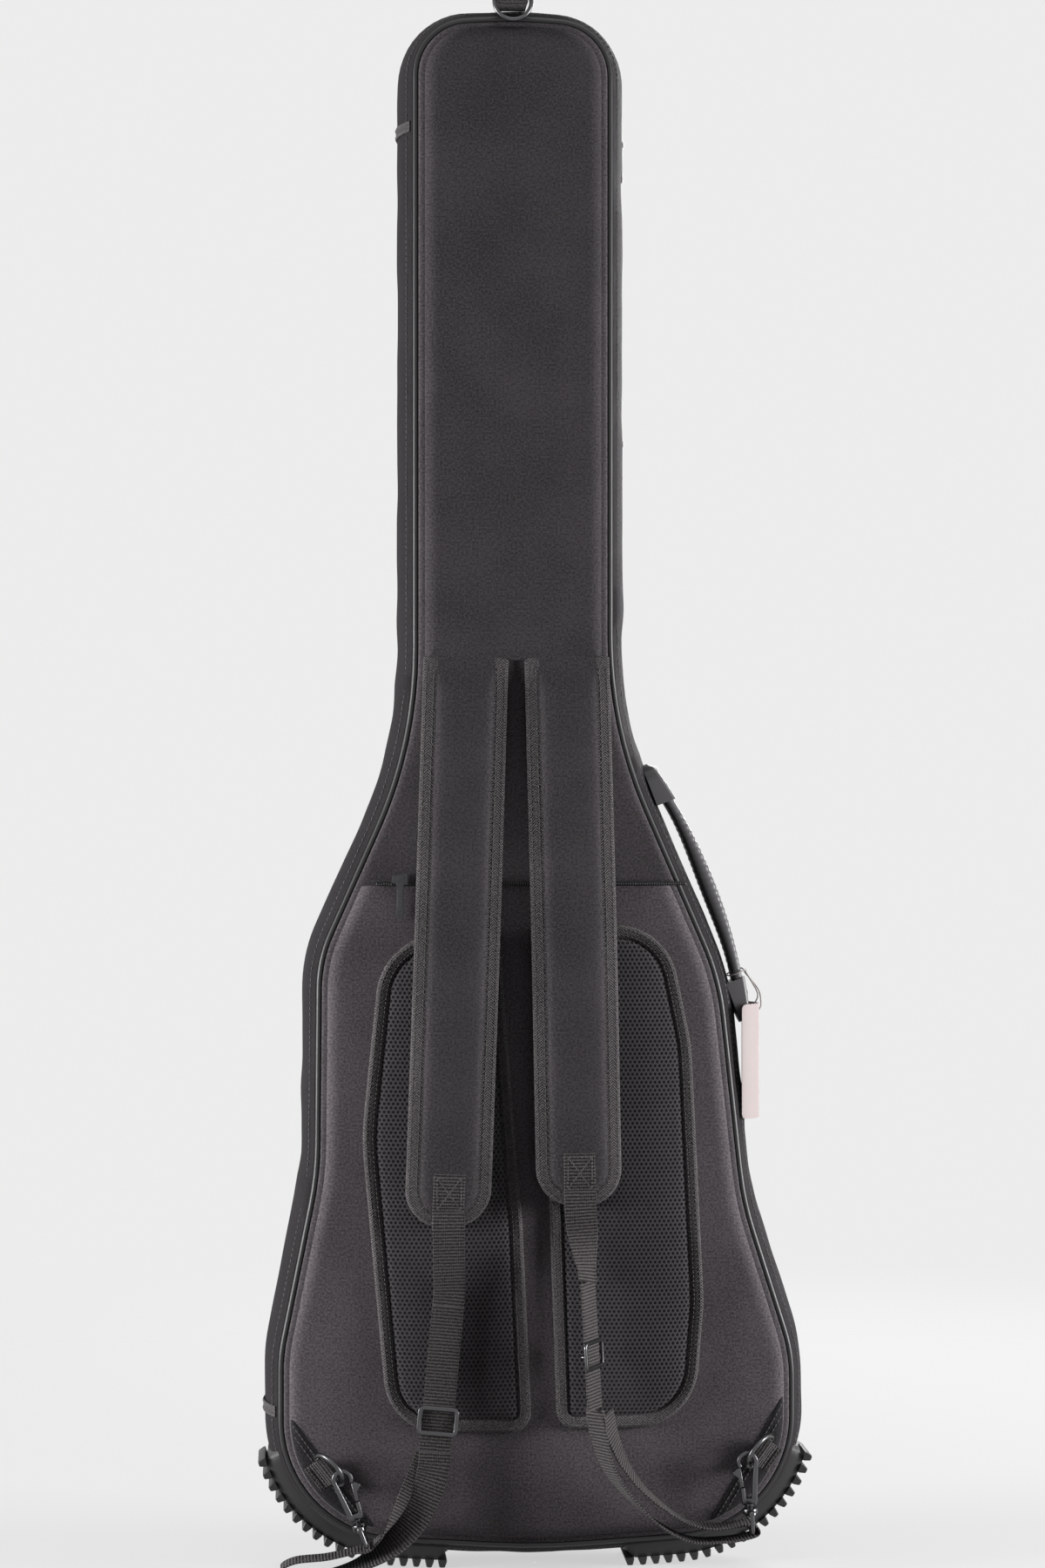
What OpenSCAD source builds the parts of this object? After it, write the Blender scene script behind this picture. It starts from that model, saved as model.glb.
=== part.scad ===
// Padded gig bag for a bass guitar, seen from the back that carries the shoulder straps.
// Millimetres. X runs to the right seen from the back, Y from the back towards the lid, Z up from the floor.

/* [Bag] */
// Width across the lower bout, piping to piping
bag_w = 413; // [402:1:424]
// Height of the piping from its lowest to its highest point
bag_h = 1224; // [1200:1:1250]
// Depth between the rear and the front piping
bag_depth = 90; // [86:1:96]
// Depth of the rear side band, up to the main zip
rear_band = 77; // [72:1:79]
// Swell of the side band past the piping at mid depth
side_swell = 11; // [9:0.5:12]
// Thickness of the padded side band
side_wall = 7; // [5:0.5:8]
// Foam thickness of the back and the lid
foam_t = 12; // [9:1:13]
// Thickness of the piping cord
piping_d = 5; // [4:0.5:5.5]
// Height of the bumper lugs under the bottom corners
lug_h = 5; // [4:0.5:6]

/* [Back] */
// Lower edge of the padded neck panel above the floor
neck_panel_z = 725; // [722:1:740]
// Thickness of the padded neck panel
neck_panel_t = 10; // [8:0.5:12]
// Top edge of the back pocket above the floor
pocket_z = 546; // [540:1:550]
// Clear depth of the back pocket
pocket_gap = 7; // [5:0.5:7.5]
// Crown height of the mesh back pads
pad_t = 12; // [9:0.5:12]

/* [Straps] */
// Width of the padded shoulder straps
strap_w = 68; // [62:1:70]
// Thickness of the padded shoulder straps
strap_t = 12; // [9:0.5:14]
// Width of the strap webbing
web_w = 25; // [22:1:25]
// Thickness of the strap webbing
web_t = 1.6; // [1.2:0.1:1.8]

/* [Hardware] */
// Wire thickness of the D-rings
ring_wire = 3.6; // [3:0.2:3.6]
// Depth of the snap hooks from front to back
hook_t = 5; // [4:0.5:5]
// Length of the zip pulls
pull_len = 28; // [22:1:30]
// Thickness of the moulded handle grip
grip_t = 8.5; // [7:0.5:9]
// Width of the moulded handle
handle_w = 26; // [22:1:28]

/* [Hidden] */

// Round bodies
$fn = 64;
// Thin wires
wire_fn = 40;

// Design sizes that the measured outline refers to
base_w = 413;
base_h = 1224;
sx = bag_w / base_w;
sz = bag_h / base_h;

// Depth positions
y_back = -0.3 * bag_depth;
y_front = y_back + bag_depth;
y_mid = y_back + bag_depth / 2;
y_split = y_back + rear_band;
skin_t = 2;
skin_lap = 3;
y_skin = y_back - skin_lap - skin_t;
pocket_skin = 3;
y_face = y_skin - pocket_gap - pocket_skin;
lid_skin = y_front + skin_lap + skin_t;

// Bottom centre of the piping above the floor, so that the bumper lugs meet it
base_out = 5.5;
bump_out = side_swell + base_out;
lug_run = 5.3;
lift = bump_out + lug_h - lug_run;

// Corner points of the piping outline with their fillet radii, from the lower left anticlockwise
rim_table = [[-206.5, 13.5, 98], [0, 0, 600], [206.5, 13.5, 98], [206.5, 155.5, 130], [167.5, 277.5, 250],
    [148, 455.5, 200], [60.5, 657.5, 350], [60.5, 1218, 46], [-19.5, 1224, 380], [-99.5, 1218, 46],
    [-99.5, 643.5, 350], [-176, 471.5, 110], [-177.5, 300.5, 250], [-206.5, 157.5, 120]];
arc_step = 7.5;

// Outline helpers
function unit(v) = v / norm(v);
function turn(a, b) = atan2(a[0] * b[1] - a[1] * b[0], a * b);
function spin(v, a) = [v[0] * cos(a) - v[1] * sin(a), v[0] * sin(a) + v[1] * cos(a)];
function corner(p, c, q, r) = let(
    u = unit(c - p), w = unit(q - c), t = turn(u, w), s = sign(t), n = [u[1], -u[0]],
    m = c - u * (r * tan(abs(t) / 2)) - s * r * n, k = max(2, ceil(abs(t) / arc_step)))
    [for (i = [0:1:k]) let(e = spin(n, t * i / k)) [m[0] + s * r * e[0], m[1] + s * r * e[1], e[0], e[1]]];
function arcs(t) = let(n = len(t)) [for (i = [0:1:n - 1]) let(
    a = t[(i + n - 1) % n], b = t[i], c = t[(i + 1) % n])
    corner([a[0], a[1]], [b[0], b[1]], [c[0], c[1]], b[2])];
function joined(parts) = [for (a = parts) each a];
function rounded(t) = joined(arcs(t));
RIM_ARCS = arcs([for (p = rim_table) [p[0] * sx, p[1] * sz + lift, p[2]]]);
RIM = joined(RIM_ARCS);
rim_top = max([for (p = RIM) p[1]]);
function grow(rim, d) = [for (p = rim) [p[0] + d * p[2], p[1] + d * p[3]]];
function swell(y) = side_swell * (1 - pow((y - y_mid) / (bag_depth / 2), 2));

// Closed skin over rows of points
function skin_faces(m, n, loop) = let(last = loop ? m - 1 : m - 2) concat(
    [for (j = [0:1:last], i = [0:1:n - 1]) let(a = j * n, b = ((j + 1) % m) * n, k = (i + 1) % n)
        [a + i, b + i, b + k]],
    [for (j = [0:1:last], i = [0:1:n - 1]) let(a = j * n, b = ((j + 1) % m) * n, k = (i + 1) % n)
        [a + i, b + k, a + k]],
    loop ? [] : [[for (i = [0:1:n - 1]) i], [for (i = [n - 1:-1:0]) (m - 1) * n + i]]);
module skin(rows, loop = false) {
    polyhedron([for (r = rows) each r], skin_faces(len(rows), len(rows[0]), loop), convexity = 8);
}
// Flat plate with the piping outline grown by d, between two depths
module plate(d, y0, y1) {
    slab(y0, y1) polygon(grow(RIM, d));
}
module slab(y0, y1) {
    translate([0, y1, 0]) rotate([90, 0, 0]) linear_extrude(y1 - y0) children();
}
// Band that follows the piping outline, its section listed as [growth, depth]
module band(section, stations, loop = false) {
    skin([for (p = stations) [for (s = section) [p[0] + s[0] * p[2], s[1], p[1] + s[0] * p[3]]]], loop);
}
band_rows = 3;
function side_section(y0, y1, inner, outer) = concat(
    [for (i = [0:1:band_rows]) let(y = y0 + (y1 - y0) * i / band_rows) [swell(y) + outer, y]],
    [for (i = [band_rows:-1:0]) let(y = y0 + (y1 - y0) * i / band_rows) [swell(y) + inner, y]]);
fit = 0.4;
big = 3000;

// Zip run along the outline, from the lower left corner round the bottom, right side and top
// The fold of the lid is the rest
zip_first = 0;
zip_last = 9;
function half_from(a) = let(n = len(a)) [for (i = [floor(n / 2):1:n - 1]) a[i]];
function half_to(a) = let(n = len(a)) [for (i = [0:1:floor(n / 2)]) a[i]];
ZIP = concat(half_from(RIM_ARCS[zip_first]), joined([for (i = [zip_first + 1:1:zip_last - 1]) RIM_ARCS[i]]),
    half_to(RIM_ARCS[zip_last]));
fold_run = concat(half_from(RIM_ARCS[zip_last]),
    joined([for (i = [zip_last + 1:1:len(RIM_ARCS) - 1]) RIM_ARCS[i]]),
    half_to(RIM_ARCS[zip_first]));
FOLD = [for (i = [1:1:len(fold_run) - 2]) fold_run[i]];

// Materials
fabric_c = [0.17, 0.16, 0.18];
piping_c = [0.12, 0.12, 0.13];
lining_c = [0.25, 0.25, 0.27];
foam_c = [0.2, 0.2, 0.2];
mesh_c = [0.16, 0.16, 0.18];
web_c = [0.13, 0.13, 0.14];
rubber_c = [0.1, 0.1, 0.1];
steel_c = [0.55, 0.55, 0.58];
paper_c = [0.85, 0.8, 0.78];
zip_c = [0.08, 0.08, 0.08];

// Back
foam_in = -side_wall - 0.4;
skin_in = -piping_d - 0.4;
module back_foam() {
    color(foam_c) plate(foam_in, y_skin + skin_t, y_skin + skin_t + foam_t);
}
module back_lining() {
    color(lining_c) plate(foam_in, y_skin + skin_t + foam_t, y_skin + skin_t + foam_t + skin_t);
}
module back_panel() {
    color(fabric_c) plate(skin_in, y_skin, y_skin + skin_t);
}
module ring_of(d_in, d_out) {
    difference() {
        polygon(grow(RIM, d_out));
        polygon(grow(RIM, d_in));
    }
}
module back_piping() {
    color(piping_c) slab(y_back - piping_d / 2, y_back + piping_d / 2) ring_of(-piping_d, 0);
}
module above(z) {
    translate([-big / 2, z]) square(big);
}
module below(z) {
    translate([-big / 2, z - big]) square(big);
}
panel_in = -10;
panel_edge = 3;
module neck_panel() {
    color(fabric_c) {
        slab(y_skin - neck_panel_t + panel_edge, y_skin) intersection() {
            polygon(grow(RIM, panel_in));
            above(neck_panel_z);
        }
        slab(y_skin - neck_panel_t, y_skin - neck_panel_t + panel_edge) intersection() {
            polygon(grow(RIM, panel_in - panel_edge));
            above(neck_panel_z + panel_edge);
        }
    }
}
pocket_in = -9;
module pocket_panel() {
    color(fabric_c) {
        slab(y_face, y_face + pocket_skin) intersection() {
            polygon(grow(RIM, pocket_in));
            below(pocket_z);
        }
        slab(y_face + pocket_skin, y_skin) intersection() {
            ring_of(pocket_in - pocket_skin, pocket_in);
            below(pocket_z);
        }
    }
}
// Zip coils along the two lips of the back pocket
coil = 2.6;
coil_gap = 0.6;
pocket_zip_x0 = -128;
pocket_zip_x1 = 118;
module pocket_zip() {
    color(zip_c) {
        translate([pocket_zip_x0 * sx, y_face + 0.2, pocket_z])
            cube([(pocket_zip_x1 - pocket_zip_x0) * sx, coil, coil + coil_gap]);
        translate([pocket_zip_x0 * sx, y_skin - coil + coil_gap, pocket_z + coil_gap])
            cube([(pocket_zip_x1 - pocket_zip_x0) * sx, coil - coil_gap, coil]);
    }
}
// Side bands
module gusset_rear() {
    color(fabric_c) band(side_section(y_back + piping_d / 2, y_split - fit, -side_wall, 0), RIM, true);
}
zip_tape = 8;
zip_out = 1.6;
module main_zip_rear() {
    color(zip_c) band(side_section(y_split - zip_tape, y_split - fit, 0.1, zip_out), ZIP);
}
module hinge_fold() {
    color(fabric_c) band(side_section(y_split - zip_tape, y_split + zip_tape, 0.2, zip_out / 2), FOLD);
}

// Handle on the right side band, in its own frame: along the chord of its outer face, then outward
hand_base = [[92, 627.5], [172.4, 420.5]];
hand_out = [0.92, 0.4];
base_swell = 11;
function hand_end(p) = [p[0] * sx, p[1] * sz + lift] + hand_out * (side_swell - base_swell);
hand_a = hand_end(hand_base[0]);
hand_b = hand_end(hand_base[1]);
hand_len = norm(hand_b - hand_a);
hand_tilt = atan2(hand_b[1] - hand_a[1], hand_b[0] - hand_a[0]);
hand_y = y_back + 31;
bow = 15;
bow_r = pow(hand_len / 2, 2) / (2 * bow) + bow / 2;
bow_fn = 240;
cap_len = 34;
cap_lip = 1.5;
cap_deep = 10;
cap_r = handle_w / 2 + cap_lip;
seat_fit = 0.3;
seat_deep = 2 * cap_deep;
module handle_frame() {
    translate([hand_a[0], hand_y, hand_a[1]]) rotate([0, -hand_tilt, 0]) rotate([90, 0, 0]) children();
}
module bow_disc(r) {
    translate([hand_len / 2, bow - bow_r]) circle(r, $fn = bow_fn);
}
module handle_grip() {
    color(rubber_c) handle_frame() translate([0, 0, -handle_w / 2]) linear_extrude(handle_w) intersection() {
        difference() {
            bow_disc(bow_r);
            bow_disc(bow_r - grip_t);
        }
        translate([cap_len, -bow]) square([hand_len - 2 * cap_len, bow * 3]);
    }
}
module cap_block() {
    intersection() {
        translate([0, 0, -cap_r]) linear_extrude(2 * cap_r) intersection() {
            bow_disc(bow_r + cap_lip);
            translate([0, -cap_deep]) square([cap_len - fit, cap_deep + 2 * bow]);
        }
        rotate([-90, 0, 0]) translate([0, 0, -2 * bow]) linear_extrude(4 * bow) union() {
            translate([cap_r, 0]) circle(cap_r);
            translate([cap_r, -cap_r]) square([cap_len, 2 * cap_r]);
        }
    }
}
SEAT = joined([for (i = [4:1:6]) RIM_ARCS[i]]);
module side_seat() {
    band(side_section(y_back + piping_d / 2, y_split - fit, -side_wall - seat_deep, seat_fit), SEAT);
}
module handle_cap_upper() {
    color(rubber_c) difference() {
        handle_frame() cap_block();
        side_seat();
    }
}
module handle_cap_lower() {
    color(rubber_c) difference() {
        handle_frame() translate([hand_len, 0, 0]) mirror([1, 0, 0]) cap_block();
        side_seat();
    }
}
rivet_d = 9;
rivet_sink = 0.6;
rivet_top = 5.6;
rivet_h = 1.2;
rivet_at = [9, 23];
function bow_at(h) = bow - bow_r + sqrt(pow(bow_r + cap_lip, 2) - pow(hand_len / 2 - h, 2));
module rivet_row() {
    for (h = rivet_at) translate([h, bow_at(h) - rivet_sink, 0]) rotate([-90, 0, 0])
        cylinder(h = rivet_sink + rivet_h, d1 = rivet_d, d2 = rivet_top);
}
module handle_rivets() {
    color(steel_c) handle_frame() {
        rivet_row();
        translate([hand_len, 0, 0]) mirror([1, 0, 0]) rivet_row();
    }
}

// Top hang loop and its ring
top_x = -20;
loop_back = 10;
loop_up = 13.1;
loop_bar = [y_back - loop_back, rim_top + loop_up];
loop_r = ring_wire / 2 + 0.7;
loop_t = 2;
loop_w = 24;
loop_foot = 22;
loop_seat = 0.4;
loop_z = rim_top + swell(y_back + loop_foot) + loop_seat;
module loop_side() {
    difference() {
        union() {
            translate(loop_bar) circle(loop_r + loop_t);
            polygon([[loop_bar[0], loop_bar[1] + loop_r + loop_t], [y_back + loop_foot, loop_z + loop_t],
                [y_back + loop_foot, loop_z], [loop_bar[0], loop_bar[1] - loop_r - loop_t]]);
        }
        translate(loop_bar) circle(loop_r);
    }
}
module hang_loop() {
    color(web_c) translate([top_x * sx - loop_w / 2, 0, 0]) rotate([90, 0, 90])
        linear_extrude(loop_w) loop_side();
}
ring_r = web_w / 2 + 2.2;
ring_leg = 8;
// D-ring with its bar on X and its bow towards +Y of its own frame
module d_ring(leg) {
    rotate([0, 90, 0]) cylinder(h = 2 * ring_r, d = ring_wire, center = true, $fn = wire_fn);
    for (s = [-1, 1]) {
        translate([s * ring_r, 0, 0]) sphere(d = ring_wire, $fn = wire_fn);
        translate([s * ring_r, 0, 0]) rotate([-90, 0, 0]) cylinder(h = leg, d = ring_wire, $fn = wire_fn);
    }
    translate([0, leg, 0]) rotate_extrude(angle = 180) translate([ring_r, 0])
        circle(d = ring_wire, $fn = wire_fn);
}
top_leg = 3;
top_lean = 7;
module top_ring() {
    color(steel_c) translate([top_x * sx, loop_bar[0], loop_bar[1]])
        rotate([-90 - top_lean, 0, 0]) d_ring(top_leg);
}

// Rubber corner bumpers with tread lugs
bump_y0 = y_back + 8;
bump_y1 = y_split - zip_tape - 2;
bump_x = 70;
bump_z = 92;
lug_l = 7;
lug_tip = 3.8;
lug_pitch = 10.4;
lug_flat = 4;
lug_round = 13;
lug_root = 1.4;
lug_inset = 2;
lug_start = 1;
BUMP = joined([for (i = [1:1:3]) RIM_ARCS[i]]);
bump_rows = 4;
bump_edge = 1.5;
bump_min = 2;
bump_seat = 0.2;
function bump_at(i) = bump_y0 + (bump_y1 - bump_y0) * i / bump_rows;
function bump_crown(i) = bump_out - bump_edge * abs(2 * i / bump_rows - 1);
bump_section = concat(
    [for (i = [0:1:bump_rows]) [max(swell(bump_at(i)) + bump_min, bump_crown(i)), bump_at(i)]],
    [for (i = [bump_rows:-1:0]) [swell(bump_at(i)) + bump_seat, bump_at(i)]]);
module bumper_base() {
    intersection() {
        band(bump_section, BUMP);
        translate([bump_x, -big / 2, 0]) cube([big, big, bump_z]);
    }
}
lug_side = [[-lug_tip / 2, 0], [lug_tip / 2, 0], [lug_l / 2, lug_h], [lug_l / 2, lug_h + lug_root],
    [-lug_l / 2, lug_h + lug_root], [-lug_l / 2, lug_h]];
// Lug below a point of the outline, or of an arc of that radius
module lug(x, z, a, r = 0) {
    translate([x, bump_y1 - lug_inset, z]) rotate([0, a, 0]) translate([0, 0, -r - bump_out - lug_h])
        rotate([90, 0, 0]) linear_extrude(bump_y1 - bump_y0 - 2 * lug_inset) polygon(lug_side);
}
bout = rim_table[2];
bout_r = bout[2];
slope = atan2(bout[1] * sz, bout[0] * sx);
corner_x = bout[0] * sx - bout_r;
corner_z = lift + corner_x * tan(slope) + bout_r / cos(slope);
module bumper_right() {
    color(rubber_c) {
        bumper_base();
        intersection() {
            union() {
                for (i = [0:1:lug_flat - 1]) let(x = bump_x + lug_l / 2 + i * lug_pitch)
                    lug(x - bump_out * sin(slope), lift + (x - bump_out * sin(slope)) * tan(slope), -slope);
                for (i = [0:1:lug_round - 1]) lug_at(i);
            }
            translate([0, -big / 2, 0]) cube(big);
        }
    }
}
module lug_at(i) {
    lug(corner_x, corner_z, -slope - lug_start - i * lug_pitch / (bout_r + bump_out) * 180 / PI, bout_r);
}
module bumper_left() {
    mirror([1, 0, 0]) bumper_right();
}

// Mesh back pads
left_table = [[-119, 113, 45], [-5, 112, 16], [-12.6, 277, 300], [-31, 508, 18], [-130, 508, 25],
    [-140.5, 347, 200]];
right_table = [[14.5, 114, 16], [124, 116, 50], [132, 215, 120], [120, 420, 150], [96, 515, 25],
    [2, 515, 15], [8, 300, 300]];
pad_left = rounded([for (p = left_table) [p[0] * sx, p[1], p[2]]]);
pad_right = rounded([for (p = right_table) [p[0] * sx, p[1], p[2]]]);
pad_crown_in = 15;
pad_sections = [[0, 0], [0.6, 0.18], [0.4, 0.36], [-2, 0.42], [-9, 0.42], [-10.5, 0.36], [-13, 0.6],
    [-pad_crown_in, 0.78]];
dome_steps = [0.82, 0.62, 0.4];
dome_drop = 0.22;
dome_power = 4;
module cushion(rim) {
    skin(concat([for (s = pad_sections) [for (p = grow(rim, s[0])) [p[0], y_face - s[1] * pad_t, p[1]]]],
        [for (k = dome_steps) dome(rim, k)]));
}
function centre(rim) = let(n = len(rim)) [for (k = [0, 1]) [for (p = rim) 1 / n] * [for (p = rim) p[k]]];
function dome(rim, k) = let(c = centre(rim), in = grow(rim, -pad_crown_in)) [for (p = in)
    let(q = c + (p - c) * k) [q[0], y_face - pad_t * (1 - dome_drop * pow(k, dome_power)), q[1]]];
module mesh_pad_left() {
    color(mesh_c) cushion(pad_left);
}
module mesh_pad_right() {
    color(mesh_c) cushion(pad_right);
}

// Corner patches with the folded tabs that hold the lower rings
patch_t = 1.5;
patch_in = -10;
ring_left_at = [-168.7, 84];
ring_right_at = [177.8, 95];
ring_left_turn = -52;
ring_right_turn = 54;
ring_y = y_face - patch_t - 4;
tab_w = 22;
tab_t = 1.3;
tab_tail = 12;
diag_left = [[-205, 137], [-125, 29.5], [-260, -40], [-300, 100]];
diag_right = [[203, 151], [134, 33.5], [260, -40], [300, 100]];
tab_fit = 0.5;
tab_low = ring_y - y_face + patch_t;
module ring_tab() {
    bore = ring_wire / 2 + tab_fit;
    translate([-tab_w / 2, 0, 0]) rotate([90, 0, 90]) linear_extrude(tab_w) difference() {
        union() {
            circle(bore + tab_t);
            translate([-tab_tail, tab_low]) square([tab_tail, tab_t * 2]);
            translate([-bore - tab_t, tab_low]) square([bore * 2, -tab_low]);
        }
        circle(bore);
    }
}
module at_ring(at, a) {
    translate([at[0] * sx, ring_y, at[1]]) rotate([0, -a, 0]) rotate([90, 0, 0]) children();
}
module corner_patches() {
    color(fabric_c) {
        for (d = [diag_left, diag_right]) slab(y_face - patch_t, y_face) intersection() {
            polygon(grow(RIM, patch_in));
            polygon([for (p = d) [p[0] * sx, p[1]]]);
        }
        at_ring(ring_left_at, ring_left_turn) ring_tab();
        at_ring(ring_right_at, ring_right_turn) ring_tab();
    }
}

// Padding inside the bag
cradle_z = 960;
cradle_h = 70;
cradle_w = 112;
cradle_d = 30;
cradle_groove = 30;
in_face = y_skin + skin_t + foam_t + skin_t;
module neck_cradle() {
    color(foam_c) difference() {
        translate([top_x * sx - cradle_w / 2, in_face, cradle_z]) cube([cradle_w, cradle_d, cradle_h]);
        translate([top_x * sx, in_face + cradle_d + cradle_groove / 3, cradle_z - fit])
            cylinder(h = cradle_h + 2 * fit, r = cradle_groove);
    }
}
pad_end_w = 210;
pad_end_up = 13;
pad_end_h = 30;
pad_end_d = 44;
module end_pad() {
    color(foam_c) translate([-pad_end_w / 2, in_face, lift + pad_end_up])
        cube([pad_end_w, pad_end_d, pad_end_h]);
}

// Lid
module lid_foam() {
    color(foam_c) plate(foam_in, lid_skin - skin_t - foam_t, lid_skin - skin_t);
}
module lid_lining() {
    color(lining_c) plate(foam_in, lid_skin - 2 * skin_t - foam_t, lid_skin - skin_t - foam_t);
}
module lid_panel() {
    color(fabric_c) plate(skin_in, lid_skin - skin_t, lid_skin);
}
module lid_piping() {
    color(piping_c) slab(y_front - piping_d / 2, y_front + piping_d / 2) ring_of(-piping_d, 0);
}
module gusset_front() {
    color(fabric_c) band(side_section(y_split + fit, y_front - piping_d / 2, -side_wall, 0), RIM, true);
}
module main_zip_front() {
    color(zip_c) band(side_section(y_split + fit, y_split + zip_tape, 0.1, zip_out), ZIP);
}
front_in = -14;
front_wall = 4;
front_gap = 8;
front_z = 560;
front_face = lid_skin + front_gap + front_wall;
module front_pocket() {
    color(fabric_c) {
        slab(front_face - front_wall, front_face) intersection() {
            polygon(grow(RIM, front_in));
            below(front_z);
        }
        slab(lid_skin, front_face - front_wall) intersection() {
            ring_of(front_in - front_wall, front_in);
            below(front_z);
        }
    }
}
front_zip_x0 = -122;
front_zip_x1 = 84;
module front_pocket_zip() {
    color(zip_c) {
        translate([front_zip_x0 * sx, front_face - 0.2 - coil, front_z])
            cube([(front_zip_x1 - front_zip_x0) * sx, coil, coil + coil_gap]);
        translate([front_zip_x0 * sx, lid_skin, front_z + coil_gap])
            cube([(front_zip_x1 - front_zip_x0) * sx, coil - coil_gap, coil]);
    }
}

// Zip sliders and pulls
slider_l = 13;
slider_w = 9;
slider_top = 2;
pull_w = 7;
pull_t = 1.2;
eye_d = 3.4;
// Pull hanging down from its pivot, flat across Y
module pull() {
    rotate([90, 0, 0]) translate([0, 0, -pull_t / 2]) linear_extrude(pull_t) difference() {
        union() {
            circle(d = pull_w);
            translate([-pull_w / 2, -pull_len]) square([pull_w, pull_len]);
            translate([0, -pull_len]) circle(d = pull_w);
        }
        circle(d = eye_d);
        translate([0, -pull_len]) circle(d = eye_d);
    }
}
// Main zip: the sliders ride on the rear coil, open towards the lid
neck_side = 7;
neck_x = rim_table[neck_side][0] * sx;
slider_y = y_split - slider_w;
slider_x = neck_x + swell(slider_y) + zip_out + fit;
slider_leg = 2.2;
leg_x = neck_x + swell(slider_y - slider_leg) + fit;
slider_up_z = 1150 * sz;
slider_low_z = 905 * sz;
stud = 2.2;
stud_root = 0.5;
stud_cap = 0.7;
stud_cap_d = eye_d + 1.6;
pull_gap = 0.45;
stud_len = stud_root + 2 * pull_gap + pull_t + stud_cap;
// Stud along +Z of its own frame, from a face at zero, with a cap that keeps the pull on
module pull_stud() {
    translate([0, 0, -stud_root]) cylinder(h = stud_len, d = stud, $fn = wire_fn);
    translate([0, 0, 2 * pull_gap + pull_t]) cylinder(h = stud_cap, d = stud_cap_d, $fn = wire_fn);
}
module main_slider(z) {
    translate([slider_x, slider_y, z - slider_l / 2]) cube([slider_top, slider_w * 1.5, slider_l]);
    translate([leg_x, slider_y - slider_leg, z - slider_l / 2])
        cube([slider_x + slider_top - leg_x, slider_leg, slider_l]);
    translate([slider_x + slider_top, y_split - slider_w / 2, z]) rotate([0, 90, 0]) pull_stud();
}
module main_pull(z) {
    translate([slider_x + slider_top + pull_gap + pull_t / 2, y_split - slider_w / 2, z])
        rotate([0, 0, 90]) pull();
}
module zip_slider_upper() {
    color(steel_c) main_slider(slider_up_z);
}
module zip_pull_upper() {
    color(steel_c) main_pull(slider_up_z);
}
module zip_slider_lower() {
    color(steel_c) main_slider(slider_low_z);
}
module zip_pull_lower() {
    color(steel_c) main_pull(slider_low_z);
}
// Pocket sliders: a saddle over the coil on the outer lip
saddle_h = 4;
saddle_wall = 1.4;
saddle_fit = 0.45;
saddle_half = coil / 2 + saddle_fit;
saddle_y = -saddle_half - saddle_wall;
saddle_stud_z = coil + saddle_h - stud_root;
module saddle() {
    difference() {
        translate([-slider_l / 2, saddle_y, coil_gap])
            cube([slider_l, 2 * (saddle_half + saddle_wall), coil + saddle_fit + saddle_h]);
        translate([-slider_l, -saddle_half, -coil])
            cube([2 * slider_l, 2 * saddle_half, 2 * coil + coil_gap + saddle_fit]);
    }
    translate([0, saddle_y, saddle_stud_z]) rotate([90, 0, 0]) pull_stud();
}
module saddle_pull() {
    translate([0, saddle_y - pull_gap - pull_t / 2, saddle_stud_z]) pull();
}
pocket_slider_x = -110;
front_slider_x = 74;
module at_pocket_lip() {
    translate([pocket_slider_x * sx, y_face + 0.2 + coil / 2, pocket_z]) children();
}
module at_front_lip() {
    translate([front_slider_x * sx, front_face - 0.2 - coil / 2, front_z]) rotate([0, 0, 180]) children();
}
module pocket_slider() {
    color(steel_c) at_pocket_lip() saddle();
}
module pocket_pull() {
    color(steel_c) at_pocket_lip() saddle_pull();
}
module front_slider() {
    color(steel_c) at_front_lip() saddle();
}
module front_pull() {
    color(steel_c) at_front_lip() saddle_pull();
}

// Shoulder straps
strap_top = 722;
strap_gap = 0.6;
bend_z = 500;
bend_soft = 0.2;
strap_low = y_face - pad_t - 1.3;
left_strap = [-57.3, -73.2, 277];
right_strap = [23.4, 31.5, 293];
strap_rows = 20;
tip_len = 30;
function soft_ramp(t) = t < -bend_soft ? 0 : t > bend_soft ? t : pow(t + bend_soft, 2) / (4 * bend_soft);
function strap_y(z) = strap_low
    + (y_skin - strap_gap - strap_low) * soft_ramp((z - bend_z) / (strap_top - bend_z));
function strap_x(s, z) = sx * (s[0] + (s[1] - s[0]) * (strap_top - z) / (strap_top - s[2]));
tip_min = 0.02;
tip_thin = 0.45;
function tip_scale(s, z) = let(k = max(0, (s[2] + tip_len - z) / tip_len)) sqrt(max(tip_min, 1 - k * k));
// Half of the strap's section, as shares of its width and thickness: foot, bound edge, crown
strap_crown = 1.02;
strap_half = [[0.47, 0], [0.5, 0.1], [0.5, 0.38], [0.36, 0.42], [0.33, 0.62], [0.2, 0.95], [0, strap_crown]];
strap_section = concat(strap_half,
    [for (i = [len(strap_half) - 2:-1:0]) [-strap_half[i][0], strap_half[i][1]]]);
function strap_ring(s, z) = let(k = tip_scale(s, z), t = strap_t * (tip_thin + (1 - tip_thin) * k))
    [for (p = strap_section) [strap_x(s, z) + p[0] * strap_w * k, strap_y(z) - p[1] * t, z]];
tip_steps = [0.5, 0.75, 0.9, 0.98];
stitch_tab = [14, 42];
strap_out = strap_low - strap_t * strap_crown;
module strap(s) {
    tab_z = s[2] + stitch_tab[0];
    step = (strap_top - s[2] - tip_len) / strap_rows;
    skin(concat([for (i = [0:1:strap_rows]) strap_ring(s, strap_top - step * i)],
        [for (k = tip_steps) strap_ring(s, s[2] + tip_len * (1 - k))]));
    translate([strap_x(s, tab_z) - web_w / 2, strap_out - web_t, tab_z])
        cube([web_w, web_t + strap_t / 3, stitch_tab[1] - stitch_tab[0]]);
}
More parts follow.
